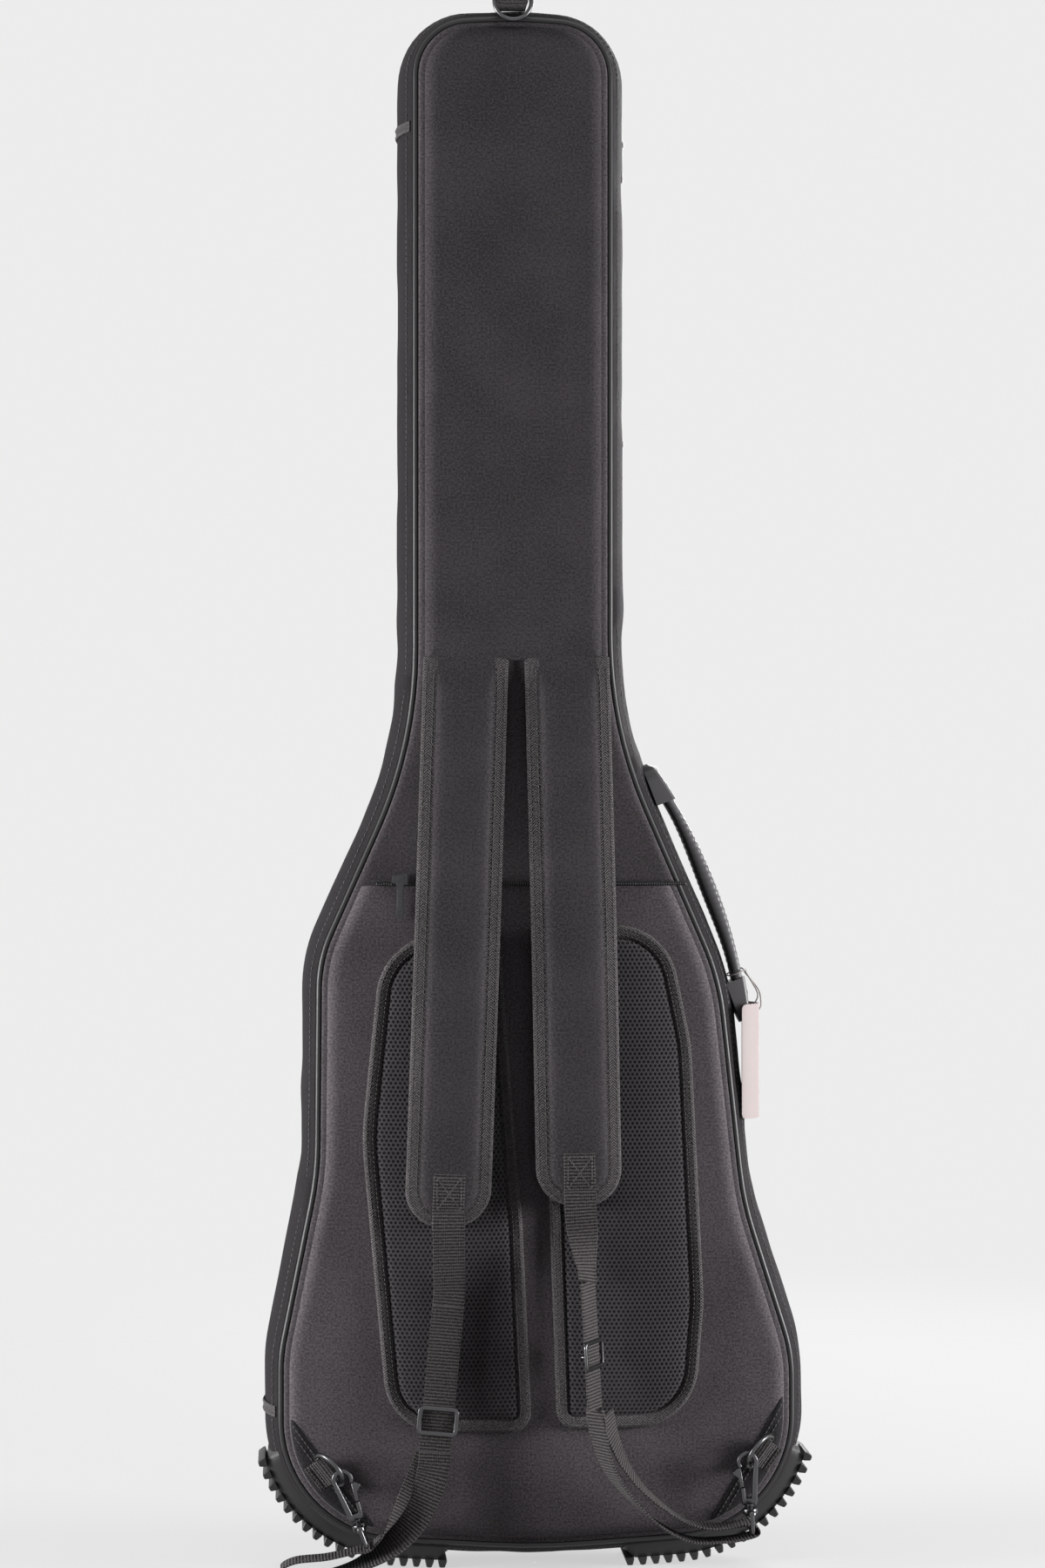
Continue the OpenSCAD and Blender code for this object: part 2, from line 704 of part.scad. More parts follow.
module strap_left() {
    color(fabric_c) strap(left_strap);
}
module strap_right() {
    color(fabric_c) strap(right_strap);
}

// Webbing: a straight stretch for each buckle, and ribbons that run to it
left_mid = [[-72.5, 215], [-83, 100]];
right_mid = [[37, 235], [42.5, 135]];
left_mid_off = 4.6;
right_mid_off = 17.4;
left_mid_y = y_face - pad_t - left_mid_off;
right_mid_y = y_face - pad_t - right_mid_off;
left_spin = 0;
right_spin = 60;
function mid_tilt(m) = atan2((m[0][0] - m[1][0]) * sx, m[0][1] - m[1][1]);
function mid_len(m) = norm([(m[0][0] - m[1][0]) * sx, m[0][1] - m[1][1]]);
module on_mid(m, y, turned) {
    translate([m[1][0] * sx, y, m[1][1]]) rotate([0, mid_tilt(m), 0]) rotate([0, 0, turned]) children();
}
module webbing_mid(m, y, turned) {
    on_mid(m, y, turned) translate([-web_w / 2, -web_t / 2, 0]) cube([web_w, web_t, mid_len(m)]);
}
module webbing_mid_left() {
    color(web_c) webbing_mid(left_mid, left_mid_y, left_spin);
}
module webbing_mid_right() {
    color(web_c) webbing_mid(right_mid, right_mid_y, right_spin);
}
glide_w = 32;
glide_h = 23;
glide_bar = 3.4;
glide_back = 2.2;
glide_left_s = 25;
glide_right_s = 43;
glide_fit = 0.5;
glide_r = 4;
module glide_outline() {
    square([glide_w - 2 * glide_r, glide_h], center = true);
    square([glide_w, glide_h - 2 * glide_r], center = true);
    for (x = [-1, 1], z = [-1, 1])
        translate([x * (glide_w / 2 - glide_r), z * (glide_h / 2 - glide_r)]) circle(glide_r);
}
module glide_bars() {
    inner = web_w + 2 * glide_fit;
    depth = web_t / 2 + fit;
    side = (glide_w - inner) / 2;
    for (s = [-1, 1]) {
        translate([s * (inner + side) / 2 - side / 2, -depth - glide_back, -glide_h / 2])
            cube([side, 2 * (depth + glide_back), glide_h]);
        translate([-glide_w / 2, -depth - glide_back, s * (glide_h - glide_bar) / 2 - glide_bar / 2])
            cube([glide_w, glide_back, glide_bar]);
    }
    translate([-glide_w / 2, depth, -glide_bar / 2]) cube([glide_w, glide_back, glide_bar]);
}
module tri_glide() {
    intersection() {
        glide_bars();
        rotate([90, 0, 0]) linear_extrude(glide_w, center = true) glide_outline();
    }
}
module tri_glide_left() {
    color(steel_c) on_mid(left_mid, left_mid_y, left_spin) translate([0, 0, glide_left_s]) tri_glide();
}
module tri_glide_right() {
    color(steel_c) on_mid(right_mid, right_mid_y, right_spin) translate([0, 0, glide_right_s]) tri_glide();
}
// Smooth curve through points
curve_n = 4;
function knot(p, i) = p[min(max(i, 0), len(p) - 1)];
function through(p, i, t) = let(a = knot(p, i - 1), b = knot(p, i), c = knot(p, i + 1), d = knot(p, i + 2))
    b + t / 2 * (c - a + t * (2 * a - 5 * b + 4 * c - d + t * (3 * (b - c) + d - a)));
function curve(p) = concat(
    [for (i = [0:1:len(p) - 2], k = [0:1:curve_n - 1]) through(p, i, k / curve_n)],
    [knot(p, len(p))]);
// Flat ribbon: points are [x, y, z, turn], turn 0 faces the viewer behind the bag and 90 lies edge-on
module ribbon(points) {
    c = curve(points);
    n = len(c);
    skin([for (i = [0:1:n - 1]) let(
        q = knot(c, i + 1) - knot(c, i - 1), t = unit([q[0], q[1], q[2]]),
        f = unit(cross([0, 1, 0], t)), g = cross(t, f),
        w = f * cos(c[i][3]) + g * sin(c[i][3]), b = cross(t, w), o = [c[i][0], c[i][1], c[i][2]])
        [for (e = [[-1, -1], [1, -1], [1, 1], [-1, 1]]) o + e[0] * web_w / 2 * w + e[1] * web_t / 2 * b]]);
}
function on_face(p) = [p[0] * sx, y_face + p[1], p[2], p[3]];
tab_y = strap_out - web_t / 2 - fit - y_face;
left_y = left_mid_y - y_face;
right_y = right_mid_y - y_face;
// Courses of the four ribbons, as x, depth behind the pocket's face, z and turn
top_left_run = [[-72.6, tab_y, 290.4, 0], [-72.6, tab_y, 276, 0], [-72.1, (tab_y + left_y) / 2, 248, 0],
    [-71.5, left_y, 227, 0], [-72.4, left_y, 216.6, 0]];
top_right_run = [[31.2, tab_y, 306.4, 0], [31.6, tab_y, 290, 0], [33.5, (tab_y + right_y) / 2, 268, 30],
    [36, right_y, 246, 60], [37, right_y, 235.4, 60]];
slack_left_run = [[-83.1, left_y, 98.6, 0], [-84.2, left_y, 87, 0], [-88, left_y - 1, 74, 0],
    [-99, left_y - 2, 51, 10], [-116, -20, 31, 40], [-140, -18.5, 14, 75], [-168, -18, 5.5, 88],
    [-192, -18, 4, 90], [-204, -18, 10, 90], [-193, -18, 16.5, 90], [-168, -18, 19, 90],
    [-146, -18, 23.6, 90], [-137, -18, 24.4, 90], [-131, -18, 29, 90], [-121, -18.5, 39, 80],
    [-106, -17.5, 58, 40], [-93, -15.9, 80, 5], [-86.4, -14.6, 96, 0]];
slack_right_run = [[42.6, right_y, 134.6, 60], [45.5, right_y, 115, 62], [54, -27, 87, 70], [72, -24, 62, 80],
    [97, -20, 40, 88], [120, -18, 29, 90], [146, -18, 28.5, 90], [163, -18, 31, 90],
    [172.6, -18, 34.6, 90], [170.5, -18, 40.6, 90], [160, -18, 41.5, 90], [136, -18, 39, 90],
    [112, -18.5, 46, 90], [84, -22.5, 68, 84], [66, -25.5, 92, 75], [56, -28.6, 116, 66],
    [52, right_y - 1, 132, 62]];
module course(run) {
    color(web_c) ribbon([for (p = run) on_face(p)]);
}
module webbing_top_left() {
    course(top_left_run);
}
module webbing_top_right() {
    course(top_right_run);
}
module webbing_lower_left() {
    course(slack_left_run);
}
module webbing_lower_right() {
    course(slack_right_run);
}

// Lower D-rings with their snap hooks
ring_stand = 62;
module ring_left() {
    color(steel_c) at_ring(ring_left_at, ring_left_turn) rotate([ring_stand, 0, 0]) d_ring(ring_leg);
}
module ring_right() {
    color(steel_c) at_ring(ring_right_at, ring_right_turn) rotate([ring_stand, 0, 0]) d_ring(ring_leg);
}
// Where each hook takes its ring, its lean and the side of its gate
hook_left_at = [-155.2, 77.6];
hook_right_at = [164.6, 88.2];
hook_left_lean = -20.5;
hook_right_lean = -3.3;
hook_y = y_face - 18;
nose_v = 2;
nose_in = 5;
nose_out = 8.6;
foot_v = -32;
foot_h = 6;
foot_u = 5;
gate_top = -2.4;
gate_low = -18;
gate_fit = 0.35;
stem_d = 4.8;
stem_v = -42;
head_d = 8;
head_h = 2;
swivel_v = -37;
swivel_h = 5;
eye_v = -52;
eye_r = 1.7;
eye_half = 14.2;
module at_hook(at, lean, side) {
    translate([at[0] * sx, hook_y, at[1]]) rotate([0, lean, 0]) mirror([side < 0 ? 1 : 0, 0, 0]) children();
}
module hook_plate(t) {
    rotate([90, 0, 0]) translate([0, 0, -t / 2]) linear_extrude(t) children();
}
foot_out = foot_u + 1;
foot_in = foot_u - 2;
foot_top = foot_v + foot_h;
gate_root = nose_in - 3;
gate_side = 2 * nose_out;
stem_root = 1;
module hook_body() {
    hook_plate(hook_t) difference() {
        union() {
            translate([0, nose_v]) circle(nose_out);
            polygon([[-nose_out, nose_v], [-foot_out, foot_v], [foot_out, foot_v], [nose_out, nose_v]]);
        }
        translate([0, nose_v]) circle(nose_in);
        polygon([[-nose_in, nose_v], [-foot_in, foot_top], [foot_in, foot_top], [nose_in, nose_v]]);
        polygon([[gate_root, gate_low], [gate_root, gate_top], [gate_side, gate_top], [gate_side, gate_low]]);
    }
    translate([0, 0, stem_v]) cylinder(h = foot_v - stem_v + stem_root, d = stem_d);
    translate([0, 0, stem_v]) cylinder(h = head_h, d = head_d);
}
// Gate outline, from its pivot up past the thumb lug to its tip
gate_lug = 3.4;
gate_t = hook_t - 1;
gate_line = [[nose_in - 1.2, gate_low + gate_fit], [nose_in + 1.8, gate_low + gate_fit],
    [nose_out - 0.6, gate_top - 8], [nose_out + gate_lug, gate_top - 5],
    [nose_out + gate_lug - 1, gate_top - 2.4], [nose_out, gate_top - 1],
    [nose_in + 0.4, gate_top - gate_fit]];
module hook_gate() {
    hook_plate(gate_t) polygon(gate_line);
}
yoke_w = 6;
barrel_d = head_d + 4;
stem_fit = 0.45;
module hook_eye() {
    difference() {
        union() {
            translate([-yoke_w / 2, -eye_half - eye_r, swivel_v - swivel_h / 2])
                cube([yoke_w, 2 * (eye_half + eye_r), swivel_h]);
            translate([0, 0, swivel_v - swivel_h / 2]) cylinder(h = swivel_h, d = barrel_d);
        }
        translate([0, 0, swivel_v - swivel_h]) cylinder(h = 2 * swivel_h, d = stem_d + 2 * stem_fit);
    }
    for (s = [-1, 1]) {
        translate([0, s * eye_half, eye_v]) cylinder(h = swivel_v - eye_v, r = eye_r, $fn = wire_fn);
        translate([0, s * eye_half, eye_v]) sphere(eye_r, $fn = wire_fn);
    }
    translate([0, 0, eye_v]) rotate([90, 0, 0])
        cylinder(h = 2 * eye_half, r = eye_r, center = true, $fn = wire_fn);
}
module hook_left() {
    color(steel_c) at_hook(hook_left_at, hook_left_lean, 1) hook_body();
}
module hook_right() {
    color(steel_c) at_hook(hook_right_at, hook_right_lean, -1) hook_body();
}
module gate_left() {
    color(steel_c) at_hook(hook_left_at, hook_left_lean, 1) hook_gate();
}
module gate_right() {
    color(steel_c) at_hook(hook_right_at, hook_right_lean, -1) hook_gate();
}
module eye_left() {
    color(steel_c) at_hook(hook_left_at, hook_left_lean, 1) hook_eye();
}
module eye_right() {
    color(steel_c) at_hook(hook_right_at, hook_right_lean, -1) hook_eye();
}

// Paper hang tag on the handle, and its string
tag_r = 32;
tag_t = 0.7;
tag_at = [150, 6];
tag_top = 450;
tag_h = 92;
tag_from = -62;
tag_to = 42;
tag_hole = 4;
tag_hole_z = 444;
module hang_tag() {
    color(paper_c) difference() {
        translate([tag_at[0] * sx, tag_at[1], tag_top - tag_h]) rotate([0, 0, tag_from])
            rotate_extrude(angle = tag_to - tag_from) translate([tag_r - tag_t, 0]) square([tag_t, tag_h]);
        translate([tag_at[0] * sx, tag_at[1], tag_hole_z]) rotate([0, 90, 0])
            cylinder(h = 2 * tag_r, d = tag_hole);
    }
}
string_d = 1.2;
string_sides = 8;
string_h = 183;
chord = unit(hand_b - hand_a);
// Point by the grip, from the place along it, the height over its chord and the offset across it
function by_grip(h, g, y) = let(p = hand_a + (string_h + h) * chord + g * [-chord[1], chord[0]])
    [p[0], hand_y + y, p[1]];
// Point by the tag's hole
function by_hole(x, y, z) = [tag_at[0] * sx + tag_r + x, tag_at[1] + y, tag_hole_z + z];
hole_out = [[-2.4, 0.2, 0], [-0.3, 0.4, 0], [2, 1.5, 4], [0.5, 5, 16]];
round_grip = [[4, 12.6, 5], [0, 12, 10], [0, 8.5, 15.2], [0, 2.5, 15.2], [0, -1.8, 10], [0, -1.8, -10],
    [0, 2.5, -15.2], [0, 8.5, -15.2], [0, 12, -10], [4, 12.6, -4]];
hole_back = [[-1.6, -6, 14], [-3.6, -2.5, 5], [-3.4, -1.4, 0]];
STRING = curve(concat(
    [for (p = hole_out) by_hole(p[0], p[1], p[2])],
    [for (p = round_grip) by_grip(p[0], p[1], p[2])],
    [for (p = hole_back) by_hole(p[0], p[1], p[2])]));
string_side = [0.3, 0.2, 1];
module tag_string() {
    n = len(STRING);
    turns = [for (k = [0:1:string_sides - 1]) k * 360 / string_sides];
    color(paper_c) skin([for (i = [0:1:n - 1]) let(t = unit(knot(STRING, i + 1) - knot(STRING, i - 1)),
        a = unit(cross(t, string_side)), b = cross(t, a))
        [for (k = turns) STRING[i] + string_d / 2 * (a * cos(k) + b * sin(k))]]);
}

back_foam();
back_lining();
back_panel();
neck_panel();
pocket_panel();
pocket_zip();
back_piping();
gusset_rear();
main_zip_rear();
handle_cap_upper();
handle_cap_lower();
handle_grip();
handle_rivets();
hang_loop();
bumper_left();
bumper_right();
mesh_pad_left();
mesh_pad_right();
corner_patches();
neck_cradle();
end_pad();
hinge_fold();
lid_foam();
lid_lining();
lid_panel();
lid_piping();
gusset_front();
main_zip_front();
front_pocket();
front_pocket_zip();
zip_slider_upper();
zip_pull_upper();
zip_slider_lower();
zip_pull_lower();
pocket_slider();
pocket_pull();
front_slider();
front_pull();
strap_left();
strap_right();
webbing_top_left();
webbing_top_right();
webbing_mid_left();
webbing_mid_right();
webbing_lower_left();
webbing_lower_right();
tri_glide_left();
tri_glide_right();
ring_left();
ring_right();
hook_left();
hook_right();
gate_left();
gate_right();
eye_left();
eye_right();
top_ring();
hang_tag();
tag_string();
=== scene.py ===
"""Padded gig bag: cloth, padding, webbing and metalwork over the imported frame.

Sizes are millimetres in the part's own frame, turned to metres when a mesh is made.
"""

from __future__ import annotations

import logging
import math
from dataclasses import dataclass, field
from enum import Enum
from typing import Callable, Optional, Sequence

import bmesh
import bpy
import numpy as np
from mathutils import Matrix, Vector
from mathutils.geometry import delaunay_2d_cdt

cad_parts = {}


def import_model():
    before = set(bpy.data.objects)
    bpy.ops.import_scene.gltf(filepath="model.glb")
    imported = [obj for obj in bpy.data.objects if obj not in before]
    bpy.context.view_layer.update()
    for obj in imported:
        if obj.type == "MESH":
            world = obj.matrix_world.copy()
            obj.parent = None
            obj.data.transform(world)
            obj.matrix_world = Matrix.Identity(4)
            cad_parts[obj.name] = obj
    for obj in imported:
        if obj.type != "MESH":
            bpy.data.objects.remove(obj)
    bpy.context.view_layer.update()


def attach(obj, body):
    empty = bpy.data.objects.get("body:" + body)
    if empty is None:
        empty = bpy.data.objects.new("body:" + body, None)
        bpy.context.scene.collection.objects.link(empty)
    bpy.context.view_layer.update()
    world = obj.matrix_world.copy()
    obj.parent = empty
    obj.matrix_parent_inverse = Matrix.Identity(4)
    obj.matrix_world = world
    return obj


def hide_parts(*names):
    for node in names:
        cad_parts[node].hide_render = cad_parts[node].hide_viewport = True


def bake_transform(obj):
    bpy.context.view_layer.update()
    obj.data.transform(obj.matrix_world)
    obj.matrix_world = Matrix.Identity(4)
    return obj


LOG = logging.getLogger("gig_bag")
MM = 0.001
PER_METRE = 1000.0
TINY = 1e-12
CHUNK = 2000
HASH = (127.1, 311.7, 74.7, 43758.5453)
BACKWARD = (0, -1, 0)
FORWARD = (0, 1, 0)
UP = (0, 0, 1)
Points = np.ndarray
Colour = tuple[float, float, float]
Values = tuple[float, ...]
Pair = tuple[float, float]
Pairs = tuple[Pair, ...]
Corner = tuple[float, float, float]
Corners = tuple[Corner, ...]
Quad = tuple[float, float, float, float]
Quads = tuple[Quad, ...]
Placing = Callable[[Points, Points, Points], Points]
Relief = Callable[[Points, Points, Points], Points]
Socket = bpy.types.NodeSocket


class Slot(Enum):
    """Material slots of the record."""

    OUTER = "outer_fabric"
    PIPING = "piping"
    FOAM = "foam"
    LINING = "lining"
    MESH = "mesh"
    WEBBING = "webbing"
    ZIP = "zip"
    RUBBER = "rubber"
    STEEL = "steel"
    ZIP_METAL = "zip_metal"
    PAPER = "paper"
    STRING = "string"


class Pattern(Enum):
    """Thread patterns of the woven finishes."""

    PLAIN = 1
    TWILL = 2
    RIB = 3
    HERRINGBONE = 4
    QUILT = 5


def unit(vectors: Points) -> Points:
    """Give vectors along the last axis the length one."""
    v = np.asarray(vectors, float)
    return v / np.maximum(np.linalg.norm(v, axis=-1, keepdims=True), TINY)


def ease(values: Points) -> Points:
    """Run values smoothly from 0 to 1, flat outside that range."""
    t = np.clip(values, 0.0, 1.0)
    return t * t * (3 - 2 * t)


def noise(a: Points, b: Points, size: float, seed: int = 0) -> Points:
    """Smooth random relief from -1 to 1 over a plane, with lumps of about that size.

    Args:
        a: First coordinate.
        b: Second coordinate.
        size: Size of a lump.
        seed: Number that picks the pattern.

    Returns:
        Relief at each place.
    """
    x, y = np.asarray(a, float) / size, np.asarray(b, float) / size
    ix, iy = np.floor(x), np.floor(y)
    fx, fy = ease(x - ix), ease(y - iy)

    def lattice(i: Points, j: Points) -> Points:
        """Random value at a lattice point."""
        v = np.sin(i * HASH[0] + j * HASH[1] + seed * HASH[2]) * HASH[3]
        return 2 * (v - np.floor(v)) - 1

    low = lattice(ix, iy) * (1 - fx) + lattice(ix + 1, iy) * fx
    high = lattice(ix, iy + 1) * (1 - fx) + lattice(ix + 1, iy + 1) * fx
    return low * (1 - fy) + high * fy


def through(points: Sequence[Sequence[float]], steps: int) -> Points:
    """Smooth curve through points, with that many steps in each span.

    Args:
        points: Points that the curve meets.
        steps: Steps in a span.

    Returns:
        Points of the curve.
    """
    p = np.asarray(points, float)
    q = np.vstack([p[:1], p, p[-1:]])
    t = (np.arange(steps) / steps)[:, None]
    spans = []
    for i in range(len(p) - 1):
        a, b, c, d = q[i : i + 4]
        spans.append(
            b + t / 2 * (c - a + t * (2 * a - 5 * b + 4 * c - d + t * (3 * (b - c) + d - a)))
        )
    return np.vstack(spans + [p[-1:]])


def evenly(points: Points, step: float, closed: bool = False) -> Points:
    """Points spaced evenly along a line, about that far apart.

    Args:
        points: Points of the line.
        step: Spacing of the points.
        closed: Whether it ends where it starts.

    Returns:
        The spaced points.
    """
    p = np.vstack([points, points[:1]]) if closed else np.asarray(points, float)
    s = np.concatenate([[0], np.cumsum(np.linalg.norm(np.diff(p, axis=0), axis=1))])
    count = max(2, int(round(s[-1] / step)))
    at = np.linspace(0, s[-1], count + 1)
    even = np.stack([np.interp(at, s, p[:, k]) for k in range(p.shape[1])], axis=1)
    return even[:-1] if closed else even


def soften(loop: Points, reach: float, step: float = 3.0) -> Points:
    """Closed outline with its sharp corners rounded over about that reach.

    Args:
        loop: Closed outline.
        reach: Length that a corner is rounded over.
        step: Spacing of the points.

    Returns:
        The rounded outline.
    """
    p = evenly(loop, step, closed=True)
    k = np.arange(-int(3 * reach / step) - 1, int(3 * reach / step) + 2)
    w = np.exp(-0.5 * (k * step / reach) ** 2)
    return sum(wk * np.roll(p, -kk, axis=0) for wk, kk in zip(w / w.sum(), k))


def clip(loop: Points, normal: Sequence[float], offset: float) -> Points:
    """Part of a closed outline on the side where the point times the normal is below the offset.

    Args:
        loop: Closed outline.
        normal: Direction across the cut.
        offset: Place of the cut along it.

    Returns:
        What is left of the outline.
    """
    p, n = np.asarray(loop, float), np.asarray(normal, float)
    d = p @ n - offset
    kept = []
    for i in range(len(p)):
        j = (i + 1) % len(p)
        if d[i] <= 0:
            kept.append(p[i])
        if d[i] * d[j] < 0:
            kept.append(p[i] + (p[j] - p[i]) * d[i] / (d[i] - d[j]))
    return np.array(kept)


def edge_distance(loop: Points, at: Points) -> Points:
    """Distance of points from a closed outline.

    Args:
        loop: Closed outline.
        at: Points to test.

    Returns:
        Distance of each point.
    """
    a, b = loop, np.roll(loop, -1, axis=0)
    ab = b - a
    best = np.full(len(at), np.inf)
    for start in range(0, len(at), CHUNK):
        q = at[start : start + CHUNK, None, :]
        t = np.clip(((q - a) * ab).sum(-1) / np.maximum((ab * ab).sum(-1), TINY), 0, 1)
        best[start : start + CHUNK] = np.linalg.norm(a + t[..., None] * ab - q, axis=-1).min(axis=1)
    return best


def inside(loop: Points, at: Points) -> Points:
    """Whether points lie inside a closed outline.

    Args:
        loop: Closed outline.
        at: Points to test.

    Returns:
        True for each point that does.
    """
    a, b = loop, np.roll(loop, -1, axis=0)
    x, y = at[:, :1], at[:, 1:]
    crosses = (a[:, 1] > y) != (b[:, 1] > y)
    rise = np.where(b[:, 1] == a[:, 1], TINY, b[:, 1] - a[:, 1])
    hit = x < a[:, 0] + (y - a[:, 1]) * (b[:, 0] - a[:, 0]) / rise
    return (crosses & hit).sum(axis=1) % 2 == 1


def at_depth(flat: Points, y: float | Points) -> Points:
    """Points of the plane of the back set at a depth."""
    return np.stack([flat[..., 0], np.broadcast_to(y, flat.shape[:-1]), flat[..., 1]], axis=-1)


def closed_row(points: Points) -> Points:
    """Row of points that ends where it starts."""
    return np.vstack([points, points[:1]])


def tangents(path: Points, closed: bool) -> Points:
    """Directions along a path, one for each point."""
    ahead = np.roll(path, -1, axis=0) - np.roll(path, 1, axis=0)
    return unit(ahead if closed else np.gradient(path, axis=0))


def circle(start: float, stop: float, count: int, radius: float = 1.0) -> Points:
    """Points on an arc between two angles in degrees."""
    a = np.radians(np.linspace(start, stop, count))
    return np.stack([radius * np.cos(a), radius * np.sin(a)], axis=1)


@dataclass(frozen=True)
class Run:
    """Line in the plane of the back, with its outward normals."""

    points: Points
    normals: Points

    @staticmethod
    def corner(before: Points, at: Points, after: Points, radius: float, step: float) -> "Run":
        """Rounded corner of an outline.

        Args:
            before: Point before the corner.
            at: The corner.
            after: Point after it.
            radius: Radius.
            step: Largest turn between points.

        Returns:
            The run.
        """
        u, w = unit(at - before), unit(after - at)
        bend = math.atan2(u[0] * w[1] - u[1] * w[0], u @ w)
        side = math.copysign(1.0, bend)
        n = np.array([u[1], -u[0]])
        centre = at - u * radius * math.tan(abs(bend) / 2) - side * radius * n
        turns = bend * np.linspace(0, 1, max(2, math.ceil(abs(bend) / step)) + 1)
        c, s = np.cos(turns), np.sin(turns)
        out = np.stack([n[0] * c - n[1] * s, n[0] * s + n[1] * c], axis=1)
        return Run(centre + side * radius * out, out)

    @staticmethod
    def joined(runs: Sequence["Run"]) -> "Run":
        """Several runs as one."""
        return Run(np.vstack([r.points for r in runs]), np.vstack([r.normals for r in runs]))

    @staticmethod
    def rounded(table: Sequence[Sequence[float]], step: float = math.radians(3)) -> list["Run"]:
        """Rounded corners of a closed outline listed as x, z and radius.

        Args:
            table: Corners in order.
            step: Largest turn between points.

        Returns:
            A run for each corner.
        """
        t = np.asarray(table, float)
        n = len(t)
        return [
            Run.corner(t[i - 1, :2], t[i, :2], t[(i + 1) % n, :2], t[i, 2], step) for i in range(n)
        ]

    def even(self, step: float, closed: bool = False) -> "Run":
        """The same run with even spacing."""
        both = evenly(np.hstack([self.points, 1e-6 * self.normals]), step, closed)
        return Run(both[:, :2], unit(both[:, 2:]))

    def grow(self, distance: float) -> Points:
        """Its line moved outward."""
        return self.points + distance * self.normals

    def half(self, second: bool) -> "Run":
        """Its first or second half, each with the middle point.

        Args:
            second: Whether it is the second half.

        Returns:
            The run.
        """
        middle = len(self.points) // 2
        part = slice(middle, None) if second else slice(middle + 1)
        return Run(self.points[part], self.normals[part])


@dataclass(frozen=True)
class Rim:
    """Outline of the bag's piping and the depths of its layers."""

    lift: float = 16.2
    back: float = -27.0
    front: float = 63.0
    split: float = 50.0
    mid: float = 18.0
    swell_out: float = 11.0
    skin: float = -32.0
    face: float = -42.0
    lid_skin: float = 68.0
    fold_top: int = 9
    table: Corners = (
        (-206.5, 13.5, 98), (0, 0, 600), (206.5, 13.5, 98), (206.5, 155.5, 130),
        (167.5, 277.5, 250), (148, 455.5, 200), (60.5, 657.5, 350), (60.5, 1218, 46),
        (-19.5, 1224, 380), (-99.5, 1218, 46), (-99.5, 643.5, 350), (-176, 471.5, 110),
        (-177.5, 300.5, 250), (-206.5, 157.5, 120),
    )

    def arcs(self) -> list[Run]:
        """Rounded corners in order, anticlockwise from the lower left."""
        return Run.rounded([(x, z + self.lift, r) for x, z, r in self.table])

    def loop(self, step: float = 6.0) -> Run:
        """The whole outline."""
        return Run.joined(self.arcs()).even(step, closed=True)

    def zip_run(self, step: float = 6.0) -> Run:
        """The stretch that the main zip follows."""
        a, top = self.arcs(), self.fold_top
        return Run.joined([a[0].half(True), *a[1:top], a[top].half(False)]).even(step)

    def fold_run(self, step: float = 6.0) -> Run:
        """The stretch on the left where the lid folds."""
        a, top = self.arcs(), self.fold_top
        return Run.joined([a[top].half(True), *a[top + 1 :], a[0].half(False)]).even(step)

    def swell(self, y: Points) -> Points:
        """How far the side band stands out at a depth."""
        return self.swell_out * (1 - ((np.asarray(y) - self.mid) / (self.front - self.mid)) ** 2)


@dataclass(frozen=True)
class Frame:
    """Place and axes of a sub-part."""

    origin: Points
    axes: Points

    @staticmethod
    def on_back(x: float, y: float, z: float, turn: float) -> "Frame":
        """Frame on the back, its Z towards the viewer and its X turned in the plane of the back."""
        c, s = math.cos(math.radians(turn)), math.sin(math.radians(turn))
        return Frame(np.array([x, y, z]), np.array([[c, 0, s], [-s, 0, c], [0, -1, 0]]))

    def tipped(self, angle: float) -> "Frame":
        """The same frame turned about its own X.

        Args:
            angle: Turn in degrees.

        Returns:
            The frame.
        """
        c, s = math.cos(math.radians(angle)), math.sin(math.radians(angle))
        x, y, z = self.axes
        return Frame(self.origin, np.array([x, c * y + s * z, -s * y + c * z]))

    def spun(self, angle: float) -> "Frame":
        """The same frame turned about its own Z.

        Args:
            angle: Turn in degrees.

        Returns:
            The frame.
        """
        c, s = math.cos(math.radians(angle)), math.sin(math.radians(angle))
        x, y, z = self.axes
        return Frame(self.origin, np.array([c * x + s * y, -s * x + c * y, z]))

    def moved(self, x: float, y: float, z: float) -> "Frame":
        """The same frame moved along its own axes."""
        return Frame(self.at([x, y, z]), self.axes)

    def at(self, local: Points) -> Points:
        """Points in the part's frame."""
        return self.origin + np.asarray(local, float) @ self.axes


FLAT_SECTION = np.array(
    [
        (-0.5, -0.15), (-0.488, -0.42), (-0.46, -0.5), (-0.23, -0.46), (0, -0.45), (0.23, -0.46),
        (0.46, -0.5), (0.488, -0.42), (0.5, -0.15), (0.5, 0.15), (0.488, 0.42), (0.46, 0.5),
        (0.23, 0.46), (0, 0.45), (-0.23, 0.46), (-0.46, 0.5), (-0.488, 0.42), (-0.5, 0.15),
    ]
)
BEAD = ((-0.5, 0.55, -0.5), (-0.2, 1, 0.3), (0.2, 1, 0.3), (0.5, 0.55, -0.5))
BAR_SECTION = np.array(
    [
        (
            0.5 * math.copysign(abs(math.cos(a)) ** 0.55, math.cos(a)),
            0.5 * math.copysign(abs(math.sin(a)) ** 0.55, math.sin(a)),
        )
        for a in np.linspace(0, 2 * math.pi, 20, endpoint=False)
    ]
)


